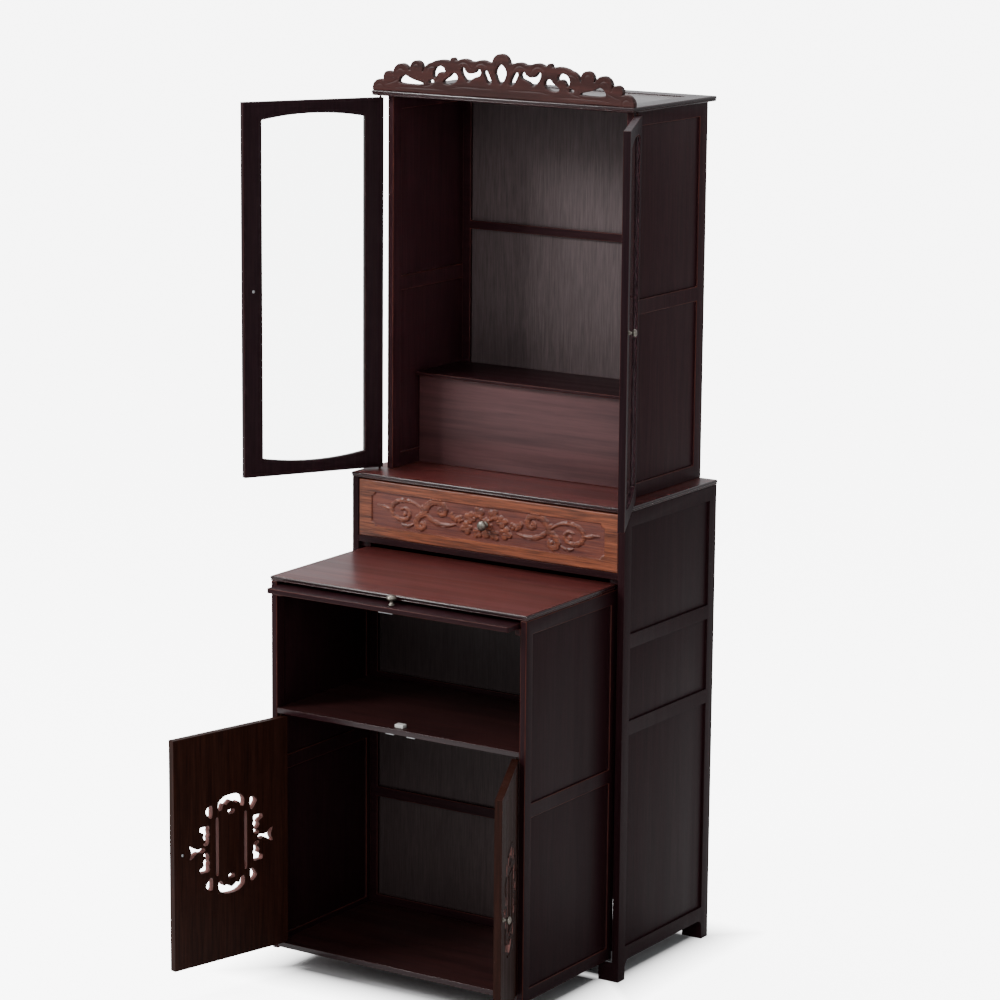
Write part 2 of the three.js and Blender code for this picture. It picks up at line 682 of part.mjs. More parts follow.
// The crest, drawn for a length of 644 and a height of 91 about its middle and its foot. Each half is
// the mirror of the other.
function crestSolid() {
  const bothSides = (make) => [make(1), make(-1)];
  const slab = (points) => {
    const turnedPoints = THREE.ShapeUtils.isClockWise(points) ? [...points].reverse() : points;
    const solid = loft(turnedPoints, turnedPoints, -crestThickness / 2, crestThickness / 2);
    return solid.applyMatrix4(frontPlane);
  };
  const polygon = (points, side) => slab(points.map(([x, z]) => new THREE.Vector2(side * x, z)));
  const lobes = [
    [301.5, 3.5, 20.5, 16], [281, 29, 13, 12], [248, 38, 21, 16], [210, 51, 16, 14], [168, 40, 25, 16],
    [143, 12, 60, 34], [119, 71.5, 6, 8], [90, 46.5, 30, 20], [46, 46, 30, 20],
  ];
  const solids = [
    ...bothSides((side) => polygon([
      [0, 0], [316, 0], [292, 22], [272, 28], [230, 46], [192, 44], [122, 72], [0, 72.5],
    ], side)),
    ...lobes.flatMap(([x, z, radius, sides]) => bothSides((side) => crestRound(side * x, z, radius, sides))),
    crestRound(0, 69.5, 21.5, 18),
  ];
  const foot = block(-330, -crestThickness, -70, 330, crestThickness, 0);
  const lens = [[0, 27], [7, 34], [12, 43], [14.5, 52], [12, 60], [6, 67], [0, 70]];
  const holes = [
    ...crestPiercings.flatMap((points) => bothSides((side) => polygon(points, side))),
    slab([...lens, ...lens.slice(1, -1).reverse().map(([x, z]) => [-x, z])].map(([x, z]) => (
      new THREE.Vector2(x, z)
    ))),
  ].map((part) => part.scale(1, 2, 1));
  const whole = union(solids);
  return cut(whole, [foot, ...holes]).scale(crestLength / 644, 1, crestHeight / 91);
}

function buildShrine(parent) {
  shrineSideFrame(parent, 'shrine_left', -1);
  shrineSideFrame(parent, 'shrine_right', 1);
  const half = shrineInnerHalf - glueGap;
  const base = caseHeight + glueGap;
  const top = roofUnderside - glueGap;
  const middle = caseHeight + shrineBackRailCentre;
  framedBack(parent, 'shrine', half, base, top, shrineBackFace, shrineBackEndRail, [
    [middle - backRail / 2, middle + backRail / 2],
  ]);

  const board = mouldedBoard(roofHalf, roofFront, caseDepth, roofUnderside);
  const holes = pinHoles(shrinePinX, shrinePinY, roofUnderside, 1, shrinePinRadius);
  const panelHalf = roofHalf - roofStile;
  const panelFront = roofFront + roofStile;
  const panelBack = caseDepth - roofStile;
  const panelTop = roofTop - roofPanelSink;
  const opening = block(-panelHalf, panelFront, panelTop - panelThickness, panelHalf, panelBack, roofTop + 1);
  piece(parent, 'shrine_top_frame', cut(board, [opening, ...holes]), darkWood);
  piece(parent, 'shrine_top_panel', block(
    glueGap - panelHalf, panelFront + glueGap, panelTop - panelThickness + glueGap,
    panelHalf - glueGap, panelBack - glueGap, panelTop,
  ), greyWood);

  const riserFace = shrineBackFace - stepDepth;
  const treadTop = caseHeight + stepHeight;
  piece(parent, 'step_riser', block(
    -half, riserFace, base, half, riserFace + stepRiser, treadTop - stepTread - glueGap,
  ), redWood);
  piece(parent, 'step_tread', block(
    -half, riserFace - stepNosing, treadTop - stepTread, half, shrineBackFace - glueGap, treadTop,
  ), darkWood);

  const crest = piece(parent, 'crest', crestSolid(), crestWood);
  crest.position.set(0, roofFront + crestSetback + crestThickness / 2, roofTop + glueGap);
}

// Glazed doors

// The glass opening, whose upper and lower edges bow outwards.
function glassOutline(Kind, x0, x1, z0, z1, bow) {
  const half = (x1 - x0) / 2;
  const radius = (half * half + bow * bow) / (2 * bow);
  const spread = Math.asin(half / radius);
  const outline = new Kind();
  outline.moveTo(x0, z0);
  outline.absarc(x0 + half, z0 - bow + radius, radius, -Math.PI / 2 - spread, -Math.PI / 2 + spread, false);
  outline.lineTo(x1, z1);
  outline.absarc(x0 + half, z1 + bow - radius, radius, Math.PI / 2 - spread, Math.PI / 2 + spread, false);
  outline.closePath();
  return outline;
}

// A door is drawn shut, in a group whose Z axis is its pin. side is -1 for the left door.
function glazedDoor(parent, name, side, angle) {
  const floor = caseHeight + shrineDoorFloorGap;
  const height = roofUnderside - shrineDoorRoofGap - floor;
  const door = groupIn(parent, side * shrinePinX, shrinePinY, floor, side * angle);
  const meeting = shrinePinX - doorGap / 2;
  const x0 = side < 0 ? -shrinePinEdge : -meeting;
  const x1 = side < 0 ? meeting : shrinePinEdge;
  const outline = rectangle(THREE.Shape, x0, 0, x1, height);
  const glassEdges = [x0 + shrineDoorStile, x1 - shrineDoorStile, shrineDoorRail, height - shrineDoorRail];
  outline.holes.push(glassOutline(THREE.Path, ...glassEdges, shrineDoorBow));
  const frame = plate(outline, shrineDoorThickness, frontPlane, 7).translate(0, shrinePinFace, 0);
  const pin = pinThrough(shrinePinRadius, height, shrineDoorFloorGap, shrineDoorRoofGap);
  piece(door, `${name}_frame`, union([frame, pin]), darkWood);
  const [g0, g1, g2, g3] = glassEdges;
  const paneEdges = [g0 + glueGap, g1 - glueGap, g2 + glueGap, g3 - glueGap];
  const pane = glassOutline(THREE.Shape, ...paneEdges, shrineDoorBow);
  const paneBack = shrinePinFace - (shrineDoorThickness - glassThickness) / 2;
  piece(door, `${name}_glass`, plate(pane, glassThickness, frontPlane, 7).translate(0, paneBack, 0), glass);
  const pull = knob(smallKnobRadius, smallKnobLength).rotateX(Math.PI / 2);
  const seat = piece(door, `${name}_knob`, pull, pewter);
  const outerFace = shrinePinFace - shrineDoorThickness;
  seat.position.set(-side * (meeting - knobInset), outerFace - glueGap, height / 2);
}

// Carved lower doors

// The medallion is drawn for a radius of 108 about its middle: piercings of one quarter or half of it.
const medallionCorner = [[49, 66], [49, 91], [58, 91], [68, 81], [62, 71], [54, 62]];
const medallionCloud = [
  [59, 13], [58, 20], [60, 24], [56, 30], [59, 37], [57, 44], [59, 50], [70, 49], [81, 50], [83, 40],
  [75, 37], [71, 33], [74, 27], [71, 21], [66, 19], [68, 15], [74, 12], [70, 7], [62, 8],
];
const medallionTail = [
  [69, 2], [76, 6.5], [85, 3], [94, 6], [102, 14], [110, 15], [105, 5], [104, 0],
];
const medallionLotus = [
  [0, 93], [4, 91], [9, 88], [13, 84], [17, 88], [22, 86], [24, 77], [32, 74], [35, 83], [33, 94], [25, 101],
  [12, 106],
];
const medallionBud = [[7, 64], [10, 74]];

function medallionCuts() {
  const upright = [[1, 1], [1, -1]];
  const level = [[1, 1], [-1, 1]];
  const fourWays = [...upright, [-1, 1], [-1, -1]];
  const prism = (points) => {
    const outline = points.map(([x, z]) => new THREE.Vector2(x, z));
    const ordered = THREE.ShapeUtils.isClockWise(outline) ? outline.reverse() : outline;
    return loft(ordered, ordered, -tableDoorThickness, tableDoorThickness);
  };
  const add = (points, ways) => ways.map(([sx, sz]) => prism(points.map(([x, z]) => [sx * x, sz * z])));
  const across = (points) => [...points, ...[...points].reverse().map(([x, z]) => [-x, z])];
  const upDown = (points) => [...points, ...[...points].reverse().map(([x, z]) => [x, -z])];
  const slot = [[33.6, 62], [40.6, 62]];
  const lotus = [...medallionLotus, ...medallionLotus.slice(1).reverse().map(([x, z]) => [-x, z])];
  const tail = [...medallionTail, ...medallionTail.slice(0, -1).reverse().map(([x, z]) => [x, -z])];
  return [
    ...add(medallionCorner, fourWays), ...add(medallionCloud, fourWays), ...add(tail, level),
    ...add(lotus, upright), ...add(across(medallionBud), upright), ...add(upDown(slot), level),
  ];
}

function medallionRelief() {
  const parts = [];
  const fourWays = [[1, 1], [1, -1], [-1, 1], [-1, -1]];
  const add = (path, width, ways, height = reliefHeight) => ways.forEach(([sx, sz]) => {
    const moved = path.map((p) => new THREE.Vector2(sx * p.x, sz * p.y));
    parts.push(ridge(sx * sz > 0 ? moved : moved.reverse(), width, height));
  });
  add(bezierPath([[28, -56], [28, -20], [28, 20], [28, 56]], 1), swell(2.2, 2.4, 2.2), [[1, 1], [-1, 1]]);
  add(bezierPath([[-26, 57], [-10, 57], [10, 57], [26, 57]], 1), swell(2.2, 2.4, 2.2), [[1, 1], [1, -1]]);
  add(spiralPath([0, 0], [111, 111], [66, 114], 4), swell(2, 3, 2), [[1, 1], [1, -1]]);
  add(bezierPath([[0, 74], [4, 80], [10, 82], [14, 76]], 2), swell(2, 3.6, 1.4), fourWays);
  add(bezierPath([[72, 68], [90, 62], [98, 46], [84, 34]], 3), swell(1.6, 3.6, 1.6), fourWays);
  return parts;
}

// The left door's slab, with a round arris beside its pin, drawn from above and pulled up to its height.
function tableDoorSlab(meeting, height) {
  const arris = tablePinFront;
  const back = tableDoorThickness - tablePinFront;
  const outline = new THREE.Shape();
  outline.moveTo(meeting, -tablePinFront);
  outline.lineTo(meeting, back);
  outline.lineTo(-tablePinEdge, back);
  outline.lineTo(-tablePinEdge, arris - tablePinFront);
  outline.absarc(arris - tablePinEdge, arris - tablePinFront, arris, Math.PI, 1.5 * Math.PI, false);
  outline.closePath();
  return plate(outline, height, null, 4);
}

function carvedDoor(parent, name, side, angle) {
  const floor = tableFloorTop + tableDoorFloorGap;
  const height = shelfUnderside - tableDoorShelfGap - floor;
  const door = groupIn(parent, side * tablePinX, tablePinFront, floor, side * angle);
  const meeting = tableDoorMeeting;
  const middle = -side * (meeting - tablePinEdge) / 2;
  const scale = medallionRadius / 108;
  const placed = (part) => {
    const seated = part.scale(scale, scale, 1).applyMatrix4(frontPlane);
    return seated.translate(middle, -tablePinFront, height / 2);
  };
  const slab = toSolid(tableDoorSlab(meeting, height));
  const facing = side < 0 ? slab : slab.mirror([1, 0, 0]);
  const pin = pinThrough(tablePinRadius, height, tableDoorFloorGap, tableDoorShelfGap);
  const carved = union([toGeometry(facing), pin, ...medallionRelief().map(placed)]);
  piece(door, `${name}_panel`, cut(carved, medallionCuts().map(placed)), carvedWood);
  const pull = knob(smallKnobRadius, smallKnobLength).rotateX(Math.PI / 2);
  const seat = piece(door, `${name}_knob`, pull, pewter);
  seat.position.set(-side * (meeting - knobInset), -tablePinFront - glueGap, height / 2);
}

// Table cabinet

function tableSideFrame(parent, name, side) {
  const top = tableTopUnderside - glueGap;
  const half = tableMidRail / 2;
  const frame = framedSide(parent, name, side, tableWidth / 2, tableSide, 0, tableDepth, tableStile, [
    [tableUnderside, tableUnderside + tableBottomRail],
    [tableMidRailCentre - half, tableMidRailCentre + half],
    [top - tableTopRail, top],
  ]);
  piece(parent, `${name}_frame`, frame, darkWood);
}

function tableCatches(parent) {
  const behindDoors = tableDoorThickness + catchGap;
  [['left', -1], ['right', 1]].forEach(([word, side]) => {
    const x = side * catchSpread;
    piece(parent, `${word}_door_catch`, block(
      x - catchWidth / 2, behindDoors, shelfUnderside - glueGap - catchHeight,
      x + catchWidth / 2, behindDoors + catchDepth, shelfUnderside - glueGap,
    ), steel);
  });
  const base = shelfTop + glueGap;
  const front = flapThickness + catchGap;
  piece(parent, 'flap_catch', block(
    -catchWidth / 2, front, base, catchWidth / 2, front + catchDepth, base + catchHeight,
  ), whitePlastic);
}

function buildFlap(parent) {
  const half = tableInnerHalf - flapSideGap;
  const front = -tableTopOverhang - flapShowing;
  const flap = groupIn(parent, 0, front, flapTop - flapThickness);
  const outline = new THREE.Shape();
  outline.moveTo(flapEdgeRadius - half, 0);
  outline.lineTo(half - flapEdgeRadius, 0);
  outline.absarc(half - flapEdgeRadius, flapEdgeRadius, flapEdgeRadius, -Math.PI / 2, 0, false);
  outline.lineTo(half, flapHeight);
  outline.lineTo(-half, flapHeight);
  outline.absarc(flapEdgeRadius - half, flapEdgeRadius, flapEdgeRadius, Math.PI, 1.5 * Math.PI, false);
  outline.closePath();
  piece(flap, 'flap_panel', plate(outline, flapThickness, null, 4), darkWood);
  const pull = piece(flap, 'flap_knob', knob(knobRadius, knobLength), pewter);
  pull.position.set(0, flapKnobSetback, flapThickness + glueGap);
  const strikeTop = -glueGap;
  piece(flap, 'flap_strike', block(
    -strikeLength / 2, strikeSetback, strikeTop - strikeThickness,
    strikeLength / 2, strikeSetback + strikeWidth, strikeTop,
  ), steel);
}

function buildTable(parent) {
  const table = groupIn(parent, 0, -tableTravel, 0);
  const half = tableInnerHalf - glueGap;
  const topHalf = tableWidth / 2 + tableTopSideOverhang;
  piece(table, 'table_top', mouldedBoard(topHalf, -tableTopOverhang, tableDepth, tableTopUnderside), redWood);
  tableSideFrame(table, 'table_left', -1);
  tableSideFrame(table, 'table_right', 1);
  const back = tableBackFace - glueGap;
  const shelf = block(-half, 0, shelfUnderside, half, back, shelfTop);
  const shelfHoles = pinHoles(tablePinX, tablePinFront, shelfUnderside, 1, tablePinRadius);
  piece(table, 'table_shelf', cut(shelf, shelfHoles), redWood);
  const floor = block(-half, 0, tableFloorTop - boardThickness, half, back, tableFloorTop);
  const floorHoles = pinHoles(tablePinX, tablePinFront, tableFloorTop, -1, tablePinRadius);
  piece(table, 'table_floor', cut(floor, floorHoles), redWood);
  const backBase = tableFloorTop - boardThickness;
  const halfRail = tableBackRail / 2;
  framedBack(table, 'table', half, backBase, tableTopUnderside - glueGap, tableBackFace, tableBackEndRail, [
    [tableBackRailCentre - halfRail, tableBackRailCentre + halfRail],
    [shelfUnderside - halfRail, shelfTop + halfRail],
  ]);
  const deck = flapTop - flapThickness - slideGap;
  [['left', -1], ['right', 1]].forEach(([word, side]) => {
    const outer = side * half;
    const inner = side * (half - flapTrackWidth);
    piece(table, `flap_${word}_track`, block(
      Math.min(inner, outer), 0, deck - flapTrackHeight, Math.max(inner, outer), back, deck,
    ), darkWood);
  });
  tableCatches(table);
  buildFlap(table);
  carvedDoor(table, 'table_left_door', -1, leftTableDoorAngle);
  carvedDoor(table, 'table_right_door', 1, rightTableDoorAngle);
}

const drawn = new THREE.Group();
buildCase(drawn);
buildDrawer(drawn);
buildShrine(drawn);
glazedDoor(drawn, 'shrine_left_door', -1, leftShrineDoorAngle);
glazedDoor(drawn, 'shrine_right_door', 1, rightShrineDoorAngle);
buildTable(drawn);

// The origin is the middle of the footprint, on the floor.
const cabinet = new THREE.Group();
cabinet.name = 'altar_cabinet';
cabinet.add(drawn);
const reach = new THREE.Box3().setFromObject(drawn);
drawn.position.set(-(reach.min.x + reach.max.x) / 2, -(reach.min.y + reach.max.y) / 2, 0);

export default cabinet;
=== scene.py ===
import json
import math

import bmesh
import bpy
import numpy as np
from bpy.props import FloatProperty, FloatVectorProperty, IntProperty, PointerProperty
from mathutils import Matrix, Vector


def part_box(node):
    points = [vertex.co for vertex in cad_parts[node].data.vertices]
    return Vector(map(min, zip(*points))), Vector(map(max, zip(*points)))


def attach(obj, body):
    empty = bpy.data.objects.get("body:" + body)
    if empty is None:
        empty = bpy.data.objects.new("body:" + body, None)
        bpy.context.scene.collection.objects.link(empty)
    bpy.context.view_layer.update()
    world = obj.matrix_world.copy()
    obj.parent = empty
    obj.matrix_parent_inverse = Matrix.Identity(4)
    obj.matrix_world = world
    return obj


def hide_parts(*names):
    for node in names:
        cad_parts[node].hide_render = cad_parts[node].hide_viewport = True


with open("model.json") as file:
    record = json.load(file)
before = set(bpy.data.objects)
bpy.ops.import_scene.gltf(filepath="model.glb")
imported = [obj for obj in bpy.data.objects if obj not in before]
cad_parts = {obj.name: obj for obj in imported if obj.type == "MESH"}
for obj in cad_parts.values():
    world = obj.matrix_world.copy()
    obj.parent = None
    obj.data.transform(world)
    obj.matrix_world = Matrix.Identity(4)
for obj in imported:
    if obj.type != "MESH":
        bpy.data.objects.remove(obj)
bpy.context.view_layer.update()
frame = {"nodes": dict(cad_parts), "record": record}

bl_info = {
    "name": "Household altar cabinet",
    "version": (1, 0, 0),
    "blender": (4, 5, 0),
    "location": "View3D > Sidebar > Altar cabinet",
    "description": "Dresses the altar cabinet's solids: softened boards, carving, turned knobs, glass and finishes",
    "category": "Object",
}

PACKED_BODIES = {node: body for body, nodes in frame["record"]["behaviour"]["bodies"].items() for node in nodes}
JOINTS = {joint["child"]: joint for joint in frame["record"]["behaviour"]["joints"]}

# The doors' boards, and how far the pins of the carved doors stand out below and above them
GLAZED_DOOR, CARVED_DOOR = 0.014, 0.015
PIN_BELOW, PIN_ABOVE = 0.0059, 0.0109

# The width and height in metres that the crest's outlines are drawn for, and how far in mm its back lies inside the
# solid's
CREST_WIDTH, CREST_HEIGHT, CREST_INSET = 0.644, 0.091, 2.5

# The brightness of the open floor and of the backdrop, as the camera sees them
BACKDROP = 7.0

# Each light's name, place, target, size and power
LIGHTS = (
    ("key", (-2.9, -3.2, 3.9), (0, 0, 1.0), 1.3, 225),
    ("front", (2.0, -4.3, 3.6), (0, 0, 1.4), 2.2, 68),
    ("top", (-1.2, 0.8, 4.2), (0, 0, 1.0), 2.6, 150),
)

# The camera that was solved from the cabinet's edges: its place, its turn about Z, down and about its own axis in
# degrees, and its focal length in widths of its sensor
CAMERA_PLACE = (4.014315, -6.000491, 2.509883)
CAMERA_ROUND, CAMERA_DOWN, CAMERA_ROLL = 32.987, 11.731, 0.508
CAMERA_FOCUS, CAMERA_SENSOR = 3.5793, 36


# Sizes and colours that a user would change

def length(name, about, default, low=0.0, high=0.1):
    return FloatProperty(name=name, description=about, default=default, min=low, max=high, unit="LENGTH", precision=5)


def colour(name, about, default):
    return FloatVectorProperty(name=name, description=about, default=default, min=0, max=1, size=3, subtype="COLOR")


class AltarSizes(bpy.types.PropertyGroup):
    arris: length("Arris", "Width of the softened edge of a board", 0.0018)
    moulding_arris: length("Moulding arris", "Width of the softened edge of a moulded board", 0.0006)
    cell: length("Carving cell", "Spacing of the carved surfaces' points", 0.00135, 0.0005, 0.01)
    crest_round: length("Crest rounding", "Rounding of the crest's edges", 0.0012)
    crest_vein: length("Crest veins", "Depth of the veins cut into the crest", 0.0006)
    door_round: length("Piercing rounding", "Rounding of the edges of the pierced work", 0.0009)
    panel_arris: length("Panel arris", "Width of the softened edge of a thin panel", 0.0005)
    back_arris: length("Back board arris", "Width of the softened edge of a back board and of a fitting", 0.0004)
    door_arris: length("Door arris", "Width of the softened edge of a glazed door's frame", 0.0012)
    screw: length("Screw radius", "Radius of a screw head", 0.0032)
    pin: length("Pin radius", "Radius of the pins that the carved doors turn on", 0.0016)
    knob_steps: IntProperty(name="Knob steps", description="Steps round a turned knob", default=40, min=12, max=96)


# Each stain's label, what it is on, its deep tone and its palest grain; the shrine sides', riser's, shelf's and back
# boards' tones also hold painted light and shade, as noted at each
STAINS = {
    "dark": ("Dark wood", "the frames and panels", (0.0150, 0.0047, 0.0062), (0.0270, 0.0088, 0.0110)),
    # The shrine sides' tones are a paler copy of the dark wood: painted light on the upper sides
    "side": ("Shrine side wood", "the shrine's sides", (0.0250, 0.0076, 0.0098), (0.0460, 0.0150, 0.0180)),
    "red": ("Red wood", "the tops and shelves", (0.0460, 0.0086, 0.0082), (0.1350, 0.0290, 0.0260)),
    "carved": ("Carved wood", "the drawer front", (0.0250, 0.0052, 0.0030), (0.3900, 0.1080, 0.0450)),
    "door_frame": ("Door frame wood", "the glazed doors' frames",
                   (0.0140, 0.0056, 0.0076), (0.0260, 0.0105, 0.0135)),
    # The riser's tones are a greyer, more purple copy of the red wood: painted shade with a painted sheen
    "riser": ("Riser wood", "the step's riser", (0.0450, 0.0160, 0.0175), (0.1060, 0.0410, 0.0420)),
    # The shelf's tones are a far darker copy of the red wood: painted shade on the boards inside the compartments
    "shelf": ("Shelf wood", "the shelf and floors", (0.0130, 0.0038, 0.0040), (0.0420, 0.0120, 0.0112)),
    "door": ("Door wood", "the carved doors", (0.0125, 0.0036, 0.0023), (0.0400, 0.0125, 0.0078)),
    "crest": ("Crest wood", "the crest", (0.0210, 0.0055, 0.0046), (0.0640, 0.0175, 0.0142)),
    # The table's back board and the other back boards are one wood: the table's darker tone is painted shade inside
    # its compartment, and the paler tone of the other back boards, used for the roof board too, is painted light made
    # for the lit upper back
    "inner": ("Table's back board", "the back board behind the shelf",
              (0.0330, 0.0215, 0.0215), (0.0620, 0.0430, 0.0425)),
    "back": ("Back board", "the back boards", (0.0560, 0.0390, 0.0405), (0.1050, 0.0770, 0.0780)),
}


class AltarColours(bpy.types.PropertyGroup):
    ground: colour("Carving ground", "Stain of the drawer front's sunk field", (0.1150, 0.0330, 0.0340))
    cut: colour("Cut wood", "Sides of the openings in the carved doors", (0.4300, 0.2050, 0.1850))
    # The worn edge tone is partly wear and partly a painted highlight: a paler red line on the arrises for the light
    # that they catch
    worn_and_lit: colour("Worn edge", "Wood that shows along a rubbed edge", (0.1500, 0.0420, 0.0280))
    metal: colour("Knob metal", "Antique metal of the knobs", (0.30, 0.27, 0.23))
    floor: colour("Floor", "Floor of the stage", (0.86, 0.86, 0.86))


# Each description calls the tone a stain; for the shrine sides, riser, shelf and back boards it also holds painted
# light and shade
for key, (label, use, deep, pale) in STAINS.items():
    AltarColours.__annotations__[key] = colour(label, "Stain of " + use, deep)
    AltarColours.__annotations__[key + "_pale"] = colour(label + ", pale grain", "Palest grain of " + use, pale)


# Shader groups

def new_group(name, inputs, outputs, kind="ShaderNodeTree"):
    """An empty node group with named sockets: pairs of name and kind, and a default where one is given."""
    tree = bpy.data.node_groups.new(name, kind)
    for way, sockets in (("INPUT", inputs), ("OUTPUT", outputs)):
        for label, sort, *default in sockets:
            socket = tree.interface.new_socket(label, in_out=way, socket_type="NodeSocket" + sort)
            if default:
                socket.default_value = default[0]
    return tree, tree.nodes.new("NodeGroupInput"), tree.nodes.new("NodeGroupOutput")


def maths(tree, operation, a, b=None):
    node = tree.nodes.new("ShaderNodeMath")
    node.operation = operation
    for socket, value in zip(node.inputs, (a, b)):
        feed(tree, value, socket)
    return node.outputs[0]


def feed(tree, value, socket):
    if value is None:
        return
    if isinstance(value, bpy.types.NodeSocket):
        tree.links.new(value, socket)
    else:
        socket.default_value = value


def constants(node, values):
    for name, value in values.items():
        node.inputs[name].default_value = value


def mix_colours(tree, factor, a, b, blend="MIX"):
    node = tree.nodes.new("ShaderNodeMix")
    node.data_type = "RGBA"
    node.blend_type = blend
    feed(tree, factor, node.inputs["Factor"])
    feed(tree, a, node.inputs[6])
    feed(tree, b, node.inputs[7])
    return node.outputs[2]


def noise(tree, place, scale, detail, roughness=0.55, distortion=0.0):
    node = tree.nodes.new("ShaderNodeTexNoise")
    feed(tree, place, node.inputs["Vector"])
    feed(tree, scale, node.inputs["Scale"])
    constants(node, {"Detail": detail, "Roughness": roughness, "Distortion": distortion})
    return node.outputs["Fac"]


def spread(tree, value, low, high, out_low=0.0, out_high=1.0):
    node = tree.nodes.new("ShaderNodeMapRange")
    for socket, number in zip(node.inputs, (value, low, high, out_low, out_high)):
        feed(tree, number, socket)
    return node.outputs[0]


def grain_group():
    """Wood grain along the axis that the material's mapping has shortened: streaks, growth figure and pores."""
    tree, given, made = new_group(
        "Wood grain",
        [("Place", "Vector"), ("Deep", "Color"), ("Pale", "Color"), ("Fineness", "Float", 90.0),
         ("Figure", "Float", 0.4)],
        [("Color", "Color"), ("Pores", "Float"), ("Gloss", "Float")],
    )
    place, fineness = given.outputs["Place"], given.outputs["Fineness"]
    streaks = noise(tree, place, fineness, 6, 0.65)
    broad = noise(tree, place, maths(tree, "MULTIPLY", fineness, 0.11), 2, 0.5, 0.5)
    rings = maths(tree, "SINE", maths(tree, "MULTIPLY", broad, 34.0))
    rings = spread(tree, rings, -1.0, 1.0)
    figure = given.outputs["Figure"]
    streaks = spread(tree, streaks, 0.34, 0.70)
    shade = maths(tree, "ADD", maths(tree, "MULTIPLY", rings, figure),
                  maths(tree, "MULTIPLY", streaks, maths(tree, "SUBTRACT", 1.0, figure)))
    pores = spread(tree, noise(tree, place, maths(tree, "MULTIPLY", fineness, 4.5), 3, 0.6), 0.56, 0.70)
    tone = mix_colours(tree, shade, given.outputs["Deep"], given.outputs["Pale"])
    tone = mix_colours(tree, maths(tree, "MULTIPLY", pores, 0.35), tone, given.outputs["Deep"])
    tree.links.new(tone, made.inputs["Color"])
    tree.links.new(pores, made.inputs["Pores"])
    tree.links.new(spread(tree, broad, 0.3, 0.7), made.inputs["Gloss"])
    return tree


def wear_and_highlight_group():
    """Rubbed edges with a painted highlight: the worn and lit tone where the mask is, broken up by a fine noise."""
    tree, given, made = new_group(
        "Edge wear",
        [("Place", "Vector"), ("Color", "Color"), ("Worn", "Color"), ("Mask", "Float"), ("Amount", "Float", 0.6)],
        [("Color", "Color")],
    )
    patches = spread(tree, noise(tree, given.outputs["Place"], 14.0, 4, 0.6), 0.35, 0.62, 0.45, 1.0)
    rubbed_and_lit = maths(tree, "MULTIPLY", maths(tree, "MULTIPLY", patches, given.outputs["Mask"]), given.outputs["Amount"])
    tree.links.new(mix_colours(tree, rubbed_and_lit, given.outputs["Color"], given.outputs["Worn"]), made.inputs["Color"])
    return tree


def group_node(tree, name, build):
    node = tree.nodes.new("ShaderNodeGroup")
    node.node_tree = bpy.data.node_groups.get(name) or build()
    return node


GRAIN_SCALES = {"upright": (1.0, 1.0, 0.045), "across": (0.045, 1.0, 1.0), "deep": (1.0, 0.045, 1.0)}


def new_material(name):
    """A new material with its tree, its shader and the object's own coordinates."""
    material = bpy.data.materials.new(name)
    material.use_nodes = True
    tree = material.node_tree
    return material, tree, tree.nodes["Principled BSDF"], tree.nodes.new("ShaderNodeTexCoord").outputs["Object"]


def attribute(tree, name):
    node = tree.nodes.new("ShaderNodeAttribute")
    node.attribute_name = name
    return node.outputs["Fac"]


def bump(tree, shader, height, strength, distance):
    relief = tree.nodes.new("ShaderNodeBump")
    constants(relief, {"Strength": strength, "Distance": distance})
    tree.links.new(height, relief.inputs["Height"])
    tree.links.new(relief.outputs[0], shader.inputs["Normal"])


def stained_wood(name, stain, run="upright", fineness=240.0, figure=0.25, gloss=(0.30, 0.42), wear_and_highlight=0.55, coat=0.0,
                 specular=0.10, pores=0.12, second=None):
    """A stained and lacquered wood whose grain runs upright, across or from front to back. stain names a setting,
    and second that of the stain where the attribute "ground" marks hollows or cut edges."""
    if name in bpy.data.materials:
        return bpy.data.materials[name]
    colours = bpy.context.scene.altar_colours
    material, tree, shader, place = new_material(name)
    mapping = tree.nodes.new("ShaderNodeMapping")
    mapping.inputs["Scale"].default_value = GRAIN_SCALES[run]
    tree.links.new(place, mapping.inputs["Vector"])
    grain = group_node(tree, "Wood grain", grain_group)
    tree.links.new(mapping.outputs[0], grain.inputs["Place"])
    constants(grain, {"Deep": (*getattr(colours, stain), 1), "Pale": (*getattr(colours, stain + "_pale"), 1),
                      "Fineness": fineness, "Figure": figure})
    tone = grain.outputs["Color"]
    if second:
        shade = mix_colours(tree, 0.55, tone, (*getattr(colours, second), 1))
        tone = mix_colours(tree, attribute(tree, "ground"), tone, shade)
    # The edge mark is partly wear and partly a painted highlight along the arrises
    worn_and_lit = group_node(tree, "Edge wear", wear_and_highlight_group)
    tree.links.new(place, worn_and_lit.inputs["Place"])
    tree.links.new(tone, worn_and_lit.inputs["Color"])
    tree.links.new(attribute(tree, "arris"), worn_and_lit.inputs["Mask"])
    constants(worn_and_lit, {"Worn": (*colours.worn_and_lit, 1), "Amount": wear_and_highlight})
    tree.links.new(worn_and_lit.outputs["Color"], shader.inputs["Base Color"])
    tree.links.new(spread(tree, grain.outputs["Gloss"], 0.0, 1.0, *gloss), shader.inputs["Roughness"])
    bump(tree, shader, maths(tree, "SUBTRACT", 1.0, grain.outputs["Pores"]), pores, 0.0004)
    constants(shader, {"Coat Weight": coat, "Coat Roughness": 0.22, "Specular IOR Level": specular})
    return material


